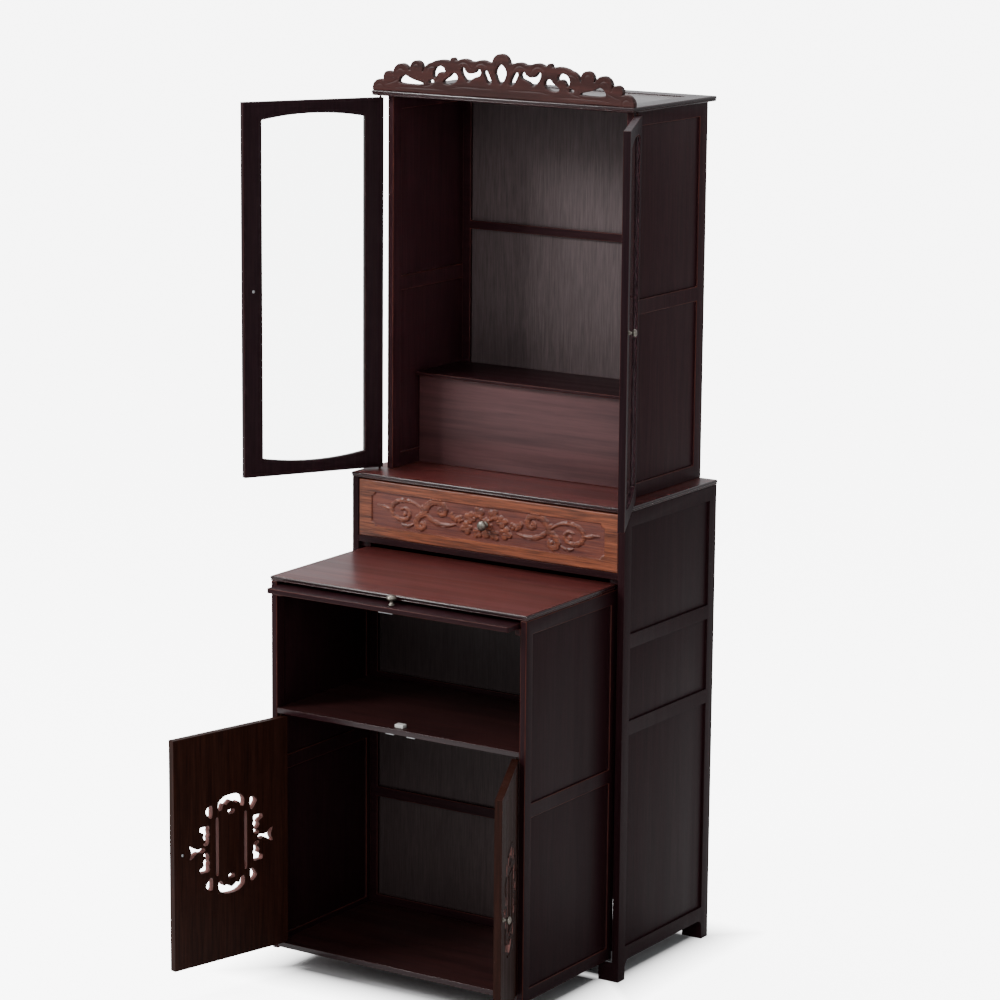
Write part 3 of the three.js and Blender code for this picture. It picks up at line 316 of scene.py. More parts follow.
def metal(name, tone, rough=(0.28, 0.5), patina=0.5):
    """Cast or rolled metal with a patchy patina."""
    if name in bpy.data.materials:
        return bpy.data.materials[name]
    material, tree, shader, place = new_material(name)
    cloud = spread(tree, noise(tree, place, 260.0, 5, 0.6), 0.35, 0.68)
    dark = tuple(channel * (1 - patina) for channel in tone)
    tree.links.new(mix_colours(tree, cloud, (*dark, 1), (*tone, 1)), shader.inputs["Base Color"])
    tree.links.new(spread(tree, cloud, 0.0, 1.0, rough[1], rough[0]), shader.inputs["Roughness"])
    bump(tree, shader, cloud, 0.2, 0.0002)
    constants(shader, {"Metallic": 0.92})
    return material


def plastic(name, tone):
    material, tree, shader, place = new_material(name)
    dull = tuple(0.9 * channel for channel in tone)
    cloud = noise(tree, place, 90.0, 3)
    tree.links.new(mix_colours(tree, cloud, (*tone, 1), (*dull, 1)), shader.inputs["Base Color"])
    constants(shader, {"Roughness": 0.45})
    return material


def pane_glass():
    material, tree, shader, place = new_material("Pane glass")
    haze = spread(tree, noise(tree, place, 9.0, 3), 0.3, 0.7)
    tint = mix_colours(tree, haze, (0.955, 0.972, 0.968, 1), (0.975, 0.985, 0.982, 1))
    tree.links.new(tint, shader.inputs["Base Color"])
    constants(shader, {"Roughness": 0.0, "Transmission Weight": 1.0, "IOR": 1.45})
    return material


def woods():
    """The cabinet's wood finishes by name."""
    # Each wear amount sets how strongly the edges take the worn tone with its painted highlight
    return {
        "dark": stained_wood("Dark wood, upright", "dark", wear_and_highlight=0.7),
        # A paler copy of the dark wood: painted light on the shrine sides
        "side": stained_wood("Dark wood, shrine sides", "side", wear_and_highlight=0.7),
        "door_frame": stained_wood("Door frame wood, upright", "door_frame", wear_and_highlight=0.5, specular=0.08),
        "dark_across": stained_wood("Dark wood, across", "dark", "across", wear_and_highlight=0.35),
        "dark_deep": stained_wood("Dark wood, front to back", "dark", "deep"),
        "red": stained_wood("Red wood, across", "red", "across", 150.0, 0.32, (0.3, 0.42), 0.5, 0.16, 0.4),
        # The riser's own tones paint shade and sheen on the red wood
        "riser": stained_wood("Red wood, riser", "riser", "across", 60.0, 0.2, (0.34, 0.5), 0.5, 0.0, 0.5),
        # A darker copy of the red wood: painted shade inside the compartments
        "shelf": stained_wood("Red wood, shelf", "shelf", "across", 150.0, 0.32, (0.34, 0.46), 0.5, 0.0, 0.4),
        "carved": stained_wood("Carved wood, across", "carved", "across", 340.0, 0.26, (0.34, 0.48), 0.9, 0.0, 0.5,
                               0.5, "ground"),
        "door": stained_wood("Door wood, upright", "door", gloss=(0.34, 0.5), wear_and_highlight=0.5, second="cut"),
        "crest": stained_wood("Crest wood, across", "crest", "across", 95.0, 0.35, (0.36, 0.5), 0.7, 0.0, 0.25),
        "moulded": stained_wood("Dark wood, moulded edge", "dark", "across", 240.0, 0.25, (0.18, 0.26), 0.3, 0.0,
                                0.45),
        # The table's back board takes the darker copy, painted shade; the other back boards and the roof take the
        # paler copy, painted light
        "inner": stained_wood("Table's back board, upright", "inner", "upright", 420.0, 0.12, (0.5, 0.62), 0.3, 0.0,
                              0.3, 0.2),
        "back": stained_wood("Back board, upright", "back", "upright", 420.0, 0.12, (0.5, 0.62), 0.3, 0.0, 0.3, 0.2),
        "roof": stained_wood("Roof board, across", "back", "across", 130.0, 0.3, (0.2, 0.3), 0.3, 0.5, 0.5),
    }


# Meshes

def add_object(name, data):
    piece = bpy.data.objects.new(name, data)
    bpy.context.scene.collection.objects.link(piece)
    return piece


def corners_of(node):
    """The places of a CAD node's vertices, one to a row."""
    raw = frame["nodes"][node].data
    places = np.empty(len(raw.vertices) * 3)
    raw.vertices.foreach_get("co", places)
    return places.reshape(-1, 3)


def shutting(body):
    """The turn that shuts a door from its place in the photograph."""
    low, high = JOINTS[body]["range_deg"]
    return math.radians(high if "left" in body else low)


def new_piece(name, mesh, material, node):
    """Puts a mesh in place of the CAD node that it stands for, on that node's body."""
    piece = add_object(name, mesh)
    mesh.materials.clear()
    mesh.materials.append(material)
    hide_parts(node)
    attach(piece, PACKED_BODIES[node])


def smooth(mesh, angle=32.0):
    mesh.polygons.foreach_set("use_smooth", [True] * len(mesh.polygons))
    mesh.set_sharp_from_angle(angle=math.radians(angle))


def softened(node, material, width, edging=None):
    """A copy of a board with its arrises rounded, and a mask of them for the wear and a painted highlight. edging is
    the finish of all but its upper and lower face."""
    bm = bmesh.new()
    bm.from_mesh(frame["nodes"][node].data)
    bmesh.ops.remove_doubles(bm, verts=bm.verts, dist=1e-5)
    bmesh.ops.dissolve_limit(bm, angle_limit=math.radians(0.5), verts=bm.verts, edges=bm.edges)
    sharp = [e for e in bm.edges if len(e.link_faces) == 2 and e.calc_face_angle(0) > math.radians(28)]
    made = bmesh.ops.bevel(bm, geom=sharp, offset=width, offset_type="OFFSET", segments=3, profile=0.6,
                           affect="EDGES", clamp_overlap=True)
    rounded = set(made["faces"])
    # The arris mask carries the wear and the painted highlight along the rounded edges
    layer = bm.verts.layers.float.new("arris")
    for vert in bm.verts:
        vert[layer] = 1.0 if all(face in rounded for face in vert.link_faces) else 0.0
    level = [abs(face.normal.z) > 0.9 and face not in rounded for face in bm.faces]
    mesh = bpy.data.meshes.new(node + "_board")
    bm.to_mesh(mesh)
    bm.free()
    smooth(mesh)
    new_piece(node + "_board", mesh, material, node)
    if edging:
        mesh.materials.append(edging)
        mesh.polygons.foreach_set("material_index", [0 if flat else 1 for flat in level])


def even_grid(low, high, cell):
    """Even grid lines over the width and the height of a box."""
    return [np.linspace(a, b, round((b - a) / cell) + 1) for a, b in ((low.x, high.x), (low.z, high.z))]


def graded(low, high, fine_low, fine_high, fine, coarse):
    """Grid lines from low to high, close together between fine_low and fine_high."""
    parts = []
    for start, end, step in ((low, fine_low, coarse), (fine_low, fine_high, fine), (fine_high, high, coarse)):
        if end - start > 1e-9:
            parts.append(np.linspace(start, end, max(1, round((end - start) / step)) + 1))
    return np.unique(np.round(np.concatenate(parts), 6))


def carved_sheet(name, xs, zs, inside, front, back):
    """A closed sheet in the XZ plane, with wood where inside is above 0. All are arrays over the grid, Z first.
    front and back are the Y places of its faces."""
    wood = inside > 0
    gx, gz = np.meshgrid(xs, zs)
    number = np.full(inside.shape, -1)
    number[wood] = np.arange(wood.sum())
    points = np.stack([gx[wood], gz[wood], front[wood], back[wood]], 1).tolist()
    crossings = {}

    def crossing(a, b):
        key = (a, b) if a < b else (b, a)
        if key not in crossings:
            (i, j), (k, l) = key
            t = inside[i, j] / (inside[i, j] - inside[k, l])
            t = min(max(t, 0.04), 0.96)
            crossings[key] = len(points)
            points.append([
                gx[i, j] + t * (gx[k, l] - gx[i, j]), gz[i, j] + t * (gz[k, l] - gz[i, j]),
                front[i, j] + t * (front[k, l] - front[i, j]), back[i, j] + t * (back[k, l] - back[i, j]),
            ])
        return crossings[key]

    count = wood[:-1, :-1].astype(int) + wood[1:, :-1] + wood[:-1, 1:] + wood[1:, 1:]
    i, j = np.nonzero(count == 4)
    faces = np.stack([number[i, j], number[i, j + 1], number[i + 1, j + 1], number[i + 1, j]], 1).tolist()
    for i, j in zip(*np.nonzero((count > 0) & (count < 4))):
        corners = [(i, j), (i, j + 1), (i + 1, j + 1), (i + 1, j)]
        loop = []
        for a, b in zip(corners, corners[1:] + corners[:1]):
            if wood[a]:
                loop.append(int(number[a]))
            if wood[a] != wood[b]:
                loop.append(crossing(a, b))
        faces.append(loop)
    total = len(points)
    ends = np.array([(a, b) for loop in faces for a, b in zip(loop, loop[1:] + loop[:1])])
    forward = ends[:, 0] * total + ends[:, 1]
    backward = ends[:, 1] * total + ends[:, 0]
    rim = ends[~np.isin(forward, backward)]
    walls = [[b, a, a + total, b + total] for a, b in rim.tolist()]
    behind = [[v + total for v in reversed(loop)] for loop in faces]
    places = np.array(points)
    vertices = np.concatenate([places[:, [0, 2, 1]], places[:, [0, 3, 1]]])
    mesh = bpy.data.meshes.new(name)
    mesh.from_pydata(vertices.tolist(), [], faces + behind + walls)
    return mesh


def rounding(depth, radius):
    """How far a surface falls back near an edge, for a distance from it."""
    reach = np.clip(radius - depth, 0, radius)
    return radius - np.sqrt(np.maximum(radius * radius - reach * reach, 0))


def set_mask(mesh, values, name="arris"):
    layer = mesh.attributes.new(name, "FLOAT", "POINT")
    layer.data.foreach_set("value", np.asarray(values, np.float32))


# Ornament, drawn in millimetres

def bezier(points, count=10):
    a, b, c, d = (np.array(p, float) for p in points)
    t = np.linspace(0, 1, count + 1)[:, None]
    return (1 - t) ** 3 * a + 3 * (1 - t) ** 2 * t * b + 3 * (1 - t) * t * t * c + t ** 3 * d


def spiral(centre, radii, angles, count=20):
    t = np.linspace(0, 1, count + 1)
    r = radii[0] + (radii[1] - radii[0]) * t
    a = np.radians(angles[0] + (angles[1] - angles[0]) * t)
    return np.stack([centre[0] + r * np.cos(a), centre[1] + r * np.sin(a)], 1)


def swell(path, start, middle, end):
    t = np.linspace(0, 1, len(path))
    return start + (end - start) * t + (middle - (start + end) / 2) * np.sin(np.pi * t)


def stroke_field(x, z, path, widths):
    """Distance to the nearest point of a stroke's middle line, and the stroke's half width there."""
    best = np.full(x.shape, 1e9)
    width = np.ones(x.shape)
    for a, b, wa, wb in zip(path, path[1:], widths, widths[1:]):
        step = b - a
        t = np.clip(((x - a[0]) * step[0] + (z - a[1]) * step[1]) / max(step @ step, 1e-9), 0, 1)
        distance = np.hypot(x - a[0] - t * step[0], z - a[1] - t * step[1])
        nearer = distance < best
        best = np.where(nearer, distance, best)
        width = np.where(nearer, wa + (wb - wa) * t, width)
    return best, width


def near(x, z, path, margin):
    low, high = path.min(0) - margin, path.max(0) + margin
    return (x >= low[0]) & (x <= high[0]) & (z >= low[1]) & (z <= high[1])


def raise_strokes(x, z, ground, strokes, height, vein=0.25):
    """Raises rounded strokes from the ground, each with a vein along its middle."""
    for path, widths in strokes:
        box = near(x, z, path, widths.max() + 3)
        distance, width = stroke_field(x[box], z[box], path, widths)
        share = np.clip(1 - (distance / np.maximum(width, 0.4)) ** 2, 0, 1)
        crown = height * share ** 0.45
        crown -= height * vein * np.exp(-((distance / (0.22 * np.maximum(width, 0.6))) ** 2)) * (width > 2.2)
        ground[box] = np.maximum(ground[box], np.where(share > 0, crown, 0))


def both_sides(strokes, ways=((1, 1), (-1, 1))):
    return [(path * np.array(way), widths) for path, widths in strokes for way in ways]


def drawn(rows):
    """Strokes from rows of a path and its start, middle and end half widths."""
    return [(path, swell(path, *widths)) for path, widths in rows]


CREST_LOBES = [
    (301.5, 3.5, 20.5), (281, 29, 13), (248, 38, 21), (210, 51, 16), (168, 40, 25), (143, 12, 60), (119, 71.5, 6),
    (90, 46.5, 30), (46, 46, 30), (0, 69.5, 21.5),
]
CREST_BODY = [(0, 0), (316, 0), (292, 22), (272, 28), (230, 46), (192, 44), (122, 72), (0, 72.5)]
CREST_LENS = [(0, 27), (7, 34), (12, 43), (14.5, 52), (12, 60), (6, 67), (0, 70)]
CREST_PIERCINGS = [
    [(190, 18.5), (196, 22), (210, 25), (222, 28), (232, 33), (240, 35.5), (248, 32), (254, 25), (255, 19.5),
     (240, 17.5), (215, 17)],
    [(137, 48), (141, 56), (151, 59), (161, 56), (168, 47), (168, 36), (163, 32), (159, 38), (154, 45), (146, 47),
     (140, 44)],
    [(166, 23), (166, 28), (172, 30), (180, 26), (177, 21)],
    [(107, 29), (107, 41), (114, 46), (122, 45), (127, 38), (136, 33), (144, 27), (141, 22), (124, 21)],
    [(99, 57), (97, 45), (91, 37), (84, 30), (77, 28), (72, 35), (62, 40), (51, 43), (48, 50), (51, 57), (58, 57),
     (63, 50), (72, 46), (82, 47), (88, 53), (92, 60)],
    [(34, 55), (40, 56), (44, 51), (40, 43), (36, 35), (32, 29), (26, 27), (21, 31), (25, 39), (29, 48)],
]


def whole(half, way=(-1, 1)):
    """An outline of one half made whole by its mirror image; points on the mirror line are kept once."""
    line = 0 if way[0] < 0 else 1
    other = [(x * way[0], z * way[1]) for x, z in reversed(half) if abs((x, z)[line]) > 1e-9]
    return list(half) + other


def rounded_outline(corners, passes=2):
    """An outline with its corners cut away evenly, which rounds them a little."""
    for _ in range(passes):
        cut = []
        for (ax, az), (bx, bz) in zip(corners, corners[1:] + corners[:1]):
            cut.append((ax * 0.8 + bx * 0.2, az * 0.8 + bz * 0.2))
            cut.append((ax * 0.2 + bx * 0.8, az * 0.2 + bz * 0.8))
        corners = cut
    return corners


def cut_outlines(x, z, inside, outlines, ways):
    """Takes outlines out of the wood, each in every mirrored place."""
    for corners in outlines:
        corners = rounded_outline(corners)
        for sx, sz in ways:
            placed = [(sx * a, sz * b) for a, b in corners]
            box = near(x, z, np.array(placed), 12)
            inside[box] = np.minimum(inside[box], -polygon_distance(x[box], z[box], placed))


def crest_veins():
    rows = [
        (spiral([301.5, 3.5], [13, 6], [0, 250]), (0.6, 1.5, 0.6)),
        (bezier([[288, 14], [270, 18], [254, 24], [236, 40]]), (0.6, 1.3, 0.5)),
        (spiral([248, 38], [13, 8], [10, 150]), (0.6, 1.4, 0.6)),
        (spiral([210, 51], [10, 6], [-20, 190]), (0.6, 1.4, 0.6)),
        (spiral([168, 42], [17, 13], [10, 140]), (0.6, 1.6, 0.6)),
        (bezier([[262, 8], [220, 12], [176, 10], [140, 10]]), (0.5, 1.3, 0.5)),
        (bezier([[196, 14], [172, 16], [160, 26], [152, 34]]), (0.6, 1.6, 0.6)),
        (spiral([90, 50], [20, 17], [40, 160]), (0.6, 1.6, 0.6)),
        (spiral([46, 50], [20, 17], [30, 150]), (0.6, 1.6, 0.6)),
        (bezier([[120, 14], [90, 22], [60, 16], [20, 18]]), (0.5, 1.5, 0.5)),
        (bezier([[14, 28], [20, 40], [18, 58], [9, 72]]), (0.6, 1.4, 0.6)),
    ]
    return both_sides(drawn(rows))


def polygon_distance(x, z, corners):
    """Distance inside a polygon, below 0 outside it."""
    best = np.full(x.shape, 1e9)
    odd = np.zeros(x.shape, bool)
    for (ax, az), (bx, bz) in zip(corners, corners[1:] + corners[:1]):
        dx, dz = bx - ax, bz - az
        t = np.clip(((x - ax) * dx + (z - az) * dz) / (dx * dx + dz * dz), 0, 1)
        best = np.minimum(best, np.hypot(x - ax - t * dx, z - az - t * dz))
        if az != bz:
            crosses = ((az > z) != (bz > z)) & (x < (bx - ax) * (z - az) / (bz - az) + ax)
            odd ^= crosses
    return np.where(odd, best, -best)


DRAWER_STEMS = [
    ([(156, 4), (152, 16), (144, 27), (132, 33), (119, 34), (107, 29), (101, 18), (106, 8), (117, 7), (122, 15),
      (116, 20)], (7.0, 6.6, 3.0)),
    ([(158, 9), (172, 20), (190, 26), (208, 27), (226, 23), (238, 14), (241, 2), (234, -10), (220, -16), (204, -15),
      (193, -6), (194, 5), (204, 11), (215, 7)], (2.2, 5.2, 2.4)),
    ([(240, 5), (252, 4), (263, 9), (279, 9)], (2.0, 4.0, 0.5)),
    ([(156, 6), (167, -2), (177, -12), (176, -24), (166, -30), (154, -24), (156, -14)], (5.5, 6.8, 2.6)),
    ([(151, 3), (136, -9), (114, -15), (92, -14), (76, -9)], (4.6, 4.6, 0.7)),
    ([(75, -4), (78, 4), (87, 8), (85, 17)], (1.2, 6.5, 0.6)),
    ([(184, -22), (195, -28), (206, -29), (216, -24)], (0.8, 3.6, 0.5)),
]
DRAWER_EYES = [(206, -3, 5), (114, 14, 4), (163, -18, 4.5), (161, 18, 4.2)]
DRAWER_LEAVES = [(18, 22, 58, 16), (39, 10, 14, 16), (49, -13, -16, 17), (21, -20, -50, 14), (66, 4, 20, 10)]


def drawer_carving(x, z):
    """Depth inside the drawer front's carved forms, below 0 outside them, and its veins from 0 to 1."""
    forms = np.full(x.shape, -9.0)
    veins = np.zeros(x.shape)
    for side in (1, -1):
        for corners, widths in DRAWER_STEMS:
            path = np.array(rounded_line(corners)) * (side, 1)
            widths = swell(path, *widths)
            widths = widths * (1 + 0.16 * np.sin(np.arange(len(path)) * 0.9) * (widths > 4.4))
            box = near(x, z, path, widths.max() + 3)
            distance, width = stroke_field(x[box], z[box], path, widths)
            forms[box] = np.maximum(forms[box], width - distance)
            groove = np.exp(-((distance - 0.45 * width) / 0.5) ** 2) * (width > 3)
            veins[box] = np.maximum(veins[box] * (width - distance < 0), groove)
        for cx, cz, radius in DRAWER_EYES:
            away = np.hypot(x - side * cx, z - cz)
            forms = np.maximum(forms, radius - away)
            veins = np.maximum(veins, np.exp(-((away - radius * 0.86) / 0.6) ** 2))
        for cx, cz, turn, size in DRAWER_LEAVES:
            along, up = math.cos(math.radians(turn)), math.sin(math.radians(turn))
            u = ((side * x - cx) * along + (z - cz) * up) / size
            v = (-(side * x - cx) * up + (z - cz) * along) / size
            leaf = np.maximum(0.42 - np.hypot(u - 0.55, v), 0.46 - np.hypot(u + 0.02, np.abs(v) - 0.42))
            leaf = np.maximum(leaf, 0.34 - np.hypot(u + 0.55, v))
            forms = np.maximum(forms, leaf * size)
            rib = np.exp(-(v / 0.05) ** 2) * (np.abs(u) < 0.7)
            rib = np.maximum(rib, np.exp(-((np.abs(v) - 0.5 * (u + 0.45)) / 0.05) ** 2) * (np.abs(u - 0.02) < 0.4))
            veins = np.maximum(veins, rib * 0.8)
    away = np.hypot(x / 1.15, z + 20)
    forms = np.maximum(forms, 9.5 - away)
    away = np.hypot(x, z)
    forms = np.maximum(forms, 14 + 1.6 * np.cos(8 * np.arctan2(z, x)) - away)
    veins = np.where(away < 17, np.exp(-((away - 11) / 0.7) ** 2), veins)
    return forms, veins


def rounded_line(corners, passes=3):
    """An open line with its corners cut away evenly; its ends stay."""
    for _ in range(passes):
        cut = [corners[0]]
        for (ax, az), (bx, bz) in zip(corners, corners[1:]):
            cut.append((ax * 0.75 + bx * 0.25, az * 0.75 + bz * 0.25))
            cut.append((ax * 0.25 + bx * 0.75, az * 0.25 + bz * 0.75))
        corners = cut + [corners[-1]]
    return corners


MEDALLION_WAYS = ((1, 1), (1, -1), (-1, 1), (-1, -1))
MEDALLION_CORNER = [(49, 66), (49, 91), (58, 91), (68, 81), (62, 71), (54, 62)]
MEDALLION_CLOUD = [
    (59, 13), (58, 20), (60, 24), (56, 30), (59, 37), (57, 44), (59, 50), (70, 49), (81, 50), (83, 40), (75, 37),
    (71, 33), (74, 27), (71, 21), (66, 19), (68, 15), (74, 12), (70, 7), (62, 8),
]
MEDALLION_TAIL = [(69, 2), (76, 6.5), (85, 3), (94, 6), (102, 14), (110, 15), (105, 5), (104, 0)]
MEDALLION_LOTUS = [
    (0, 93), (4, 91), (9, 88), (13, 84), (17, 88), (22, 86), (24, 77), (32, 74), (35, 83), (33, 94), (25, 101),
    (12, 106),
]
MEDALLION_BUD = [(7, 64), (10, 74)]
MEDALLION_SLOT = [(33.6, 20), (33.6, 45), (33.9, 60), (35.2, 63), (39.0, 63), (40.3, 60), (40.6, 45), (40.6, 20)]


def pierce_medallion(x, z, inside):
    level, upright = ((1, 1), (-1, 1)), ((1, 1), (1, -1))
    cut_outlines(x, z, inside, [MEDALLION_CORNER, MEDALLION_CLOUD], MEDALLION_WAYS)
    cut_outlines(x, z, inside, [whole(MEDALLION_TAIL, (1, -1)), whole(MEDALLION_SLOT, (1, -1))], level)
    lotus = MEDALLION_LOTUS + [(-a, b) for a, b in reversed(MEDALLION_LOTUS[1:])]
    cut_outlines(x, z, inside, [lotus, whole(MEDALLION_BUD)], upright)


def medallion_relief():
    strokes = both_sides(drawn([(bezier([[28, -56], [28, -20], [28, 20], [28, 56]]), (2.2, 2.4, 2.2))]))
    upright = ((1, 1), (1, -1))
    strokes += both_sides(drawn([
        (bezier([[-26, 57], [-10, 57], [10, 57], [26, 57]]), (2.2, 2.4, 2.2)),
        (spiral([0, 0], [111, 111], [66, 114]), (2, 3, 2)),
    ]), upright)
    strokes += both_sides(drawn([
        (bezier([[0, 74], [4, 80], [10, 82], [14, 76]]), (2, 3.6, 1.4)),
        (bezier([[72, 68], [90, 62], [98, 46], [84, 34]]), (1.6, 3.6, 1.6)),
    ]), MEDALLION_WAYS)
    return strokes


# Operators

class AltarOperator:
    bl_options = {"REGISTER", "UNDO"}

    @property
    def sizes(self):
        return bpy.context.scene.altar_sizes

    def boards(self, names, finish, width=None, edging=None):
        for name in names:
            softened(name, finish, width or self.sizes.arris, edging)


class ALTAR_OT_case(AltarOperator, bpy.types.Operator):
    """Softens the boards of the lower case"""
    bl_idname = "altar.case"
    bl_label = "Lower case"

    def execute(self, context):
        finish = woods()
        sides = ("left", "right")
        self.boards([f"case_{side}_frame" for side in sides], finish["dark"])
        self.boards([f"case_{side}_{level}_panel" for side in sides for level in ("lower", "middle", "upper")],
                    finish["dark"], self.sizes.panel_arris)
        self.boards(["case_drawer_frame"], finish["dark_across"])
        self.boards(["case_top"], finish["red"], self.sizes.moulding_arris, finish["moulded"])
        self.boards(["case_back"], finish["back"])
        return {"FINISHED"}


class ALTAR_OT_shrine(AltarOperator, bpy.types.Operator):
    """Softens the shrine's boards, its back and its step"""
    bl_idname = "altar.shrine"
    bl_label = "Shrine"

    def execute(self, context):
        finish = woods()
        sides = ("left", "right")
        self.boards([f"shrine_{side}_frame" for side in sides], finish["side"])
        self.boards([f"shrine_{side}_{level}_panel" for side in sides for level in ("lower", "upper")],
                    finish["side"], self.sizes.panel_arris)
        self.boards(["shrine_back_frame"], finish["dark_across"])
        self.boards(["shrine_back_panel"], finish["back"], self.sizes.back_arris)
        self.boards(["shrine_top_frame"], finish["moulded"], self.sizes.moulding_arris)
        self.boards(["shrine_top_panel"], finish["roof"], self.sizes.back_arris)
        self.boards(["step_riser"], finish["riser"])
        self.boards(["step_tread"], finish["dark_across"])
        return {"FINISHED"}


class ALTAR_OT_table(AltarOperator, bpy.types.Operator):
    """Softens the boards of the table cabinet and its flap"""
    bl_idname = "altar.table"
    bl_label = "Table cabinet and flap"

    def execute(self, context):
        finish = woods()
        sides = ("left", "right")
        self.boards([f"table_{side}_frame" for side in sides], finish["dark"])
        self.boards([f"table_{side}_{level}_panel" for side in sides for level in ("lower", "upper")],
                    finish["dark"], self.sizes.panel_arris)
        self.boards(["table_top"], finish["red"], self.sizes.moulding_arris, finish["moulded"])
        self.boards(["table_shelf", "table_floor"], finish["shelf"], self.sizes.moulding_arris, finish["moulded"])
        self.boards(["table_back_frame"], finish["dark_across"])
        self.boards(["table_back_panel"], finish["inner"], self.sizes.back_arris)
        self.boards([f"flap_{side}_track" for side in sides], finish["dark_deep"])
        self.boards(["flap_panel"], finish["dark_across"])
        return {"FINISHED"}


class ALTAR_OT_crest(AltarOperator, bpy.types.Operator):
    """Carves the openwork crest"""
    bl_idname = "altar.crest"
    bl_label = "Crest"

    def execute(self, context):
        sizes = self.sizes
        low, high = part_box("crest")
        middle = (low.x + high.x) / 2
        across = (high.x - low.x) / CREST_WIDTH
        up = (high.z - low.z) / CREST_HEIGHT
        xs, zs = even_grid(low, high, sizes.cell)
        x, z = np.meshgrid((xs - middle) * 1000 / across, (zs - low.z) * 1000 / up)
        inside = np.full(x.shape, -1e9)
        for cx, cz, radius in CREST_LOBES:
            for side in (1, -1):
                inside = np.maximum(inside, radius - np.hypot(x - side * cx, z - cz))
        inside = np.maximum(inside, polygon_distance(np.abs(x), z, CREST_BODY))
        inside = np.where(np.abs(x) < 1e-6, np.maximum(inside, 0.5), inside)
        cut_outlines(x, z, inside, CREST_PIERCINGS, ((1, 1), (-1, 1)))
        cut_outlines(x, z, inside, [whole(CREST_LENS)], ((1, 1),))
        edge = np.minimum(inside, z + 0.4)
        fall = rounding(np.clip(edge, 0, None), sizes.crest_round * 1000)
        veins = np.zeros(x.shape)
        raise_strokes(x, z, veins, crest_veins(), sizes.crest_vein * 1000, 0.0)
        front = low.y + (fall + veins) / 1000
        back = high.y - (CREST_INSET + rounding(np.clip(edge, 0, None), 1.5)) / 1000
        mesh = carved_sheet("crest_carving", xs, zs, inside, front, back)
        set_mask(mesh, np.zeros(len(mesh.vertices)))
        smooth(mesh, 50)
        new_piece("crest_carving", mesh, woods()["crest"], "crest")
        return {"FINISHED"}


class ALTAR_OT_drawer(AltarOperator, bpy.types.Operator):
    """Carves the drawer front and softens the drawer's box"""
    bl_idname = "altar.drawer"
    bl_label = "Drawer"

    def execute(self, context):
        sizes = self.sizes
        finish = woods()
        low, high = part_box("drawer_front")
        centre_x, centre_z = (low.x + high.x) / 2, (low.z + high.z) / 2
        xs, zs = even_grid(low, high, sizes.cell)
        x, z = np.meshgrid((xs - centre_x) * 1000, (zs - centre_z) * 1000)
        half, rise, notch, sink, bevel = 291, 38, 9, 3.2, 1.4
        field = np.minimum(half - np.abs(x), rise - np.abs(z))
        field = np.minimum(field, np.hypot(half - np.abs(x), rise - np.abs(z)) - notch)
        depth = sink * np.clip(field / bevel, 0, 1)
        forms, veins = drawer_carving(x, z)
        lift = 1 - (1 - np.clip(forms / 1.3, 0, 1)) ** 2
        relief = sink * (0.86 * lift + 0.14 * np.clip(forms / 5, 0, 1)) - 0.8 * veins * (forms > 0.8)
        edge = np.minimum((high.x - low.x) * 500 - np.abs(x), (high.z - low.z) * 500 - np.abs(z))
        fall = rounding(edge, 1.2)
        front = low.y + (depth - relief * (field > 0) + fall) / 1000
        back = np.full(x.shape, high.y)
        inside = np.ones(x.shape)
        mesh = carved_sheet("drawer_carving", xs, zs, inside, front, back)
        # The field's rim, the carved forms' edges and the front's outer edge take the worn tone: partly wear, partly
        # a painted highlight on the relief's edges
        rim = np.exp(-((field - 0.1) / 0.9) ** 2)
        brim = np.exp(-((forms - 1.0) / 0.7) ** 2) * (field > 2)
        rubbed_and_lit = np.clip(rim * 0.8 + brim * 0.45 + np.exp(-(edge / 1.2) ** 2), 0, 1).ravel()
        set_mask(mesh, np.concatenate([rubbed_and_lit, np.zeros(rubbed_and_lit.size)]))
        hollow = (np.clip(field / bevel, 0, 1) * (1 - 0.8 * lift) + 0.5 * veins * lift).ravel()
        set_mask(mesh, np.concatenate([hollow, np.zeros(hollow.size)]), "ground")
        smooth(mesh, 60)
        new_piece("drawer_carving", mesh, finish["carved"], "drawer_front")
        self.boards(["drawer_box"], finish["red"])
        return {"FINISHED"}


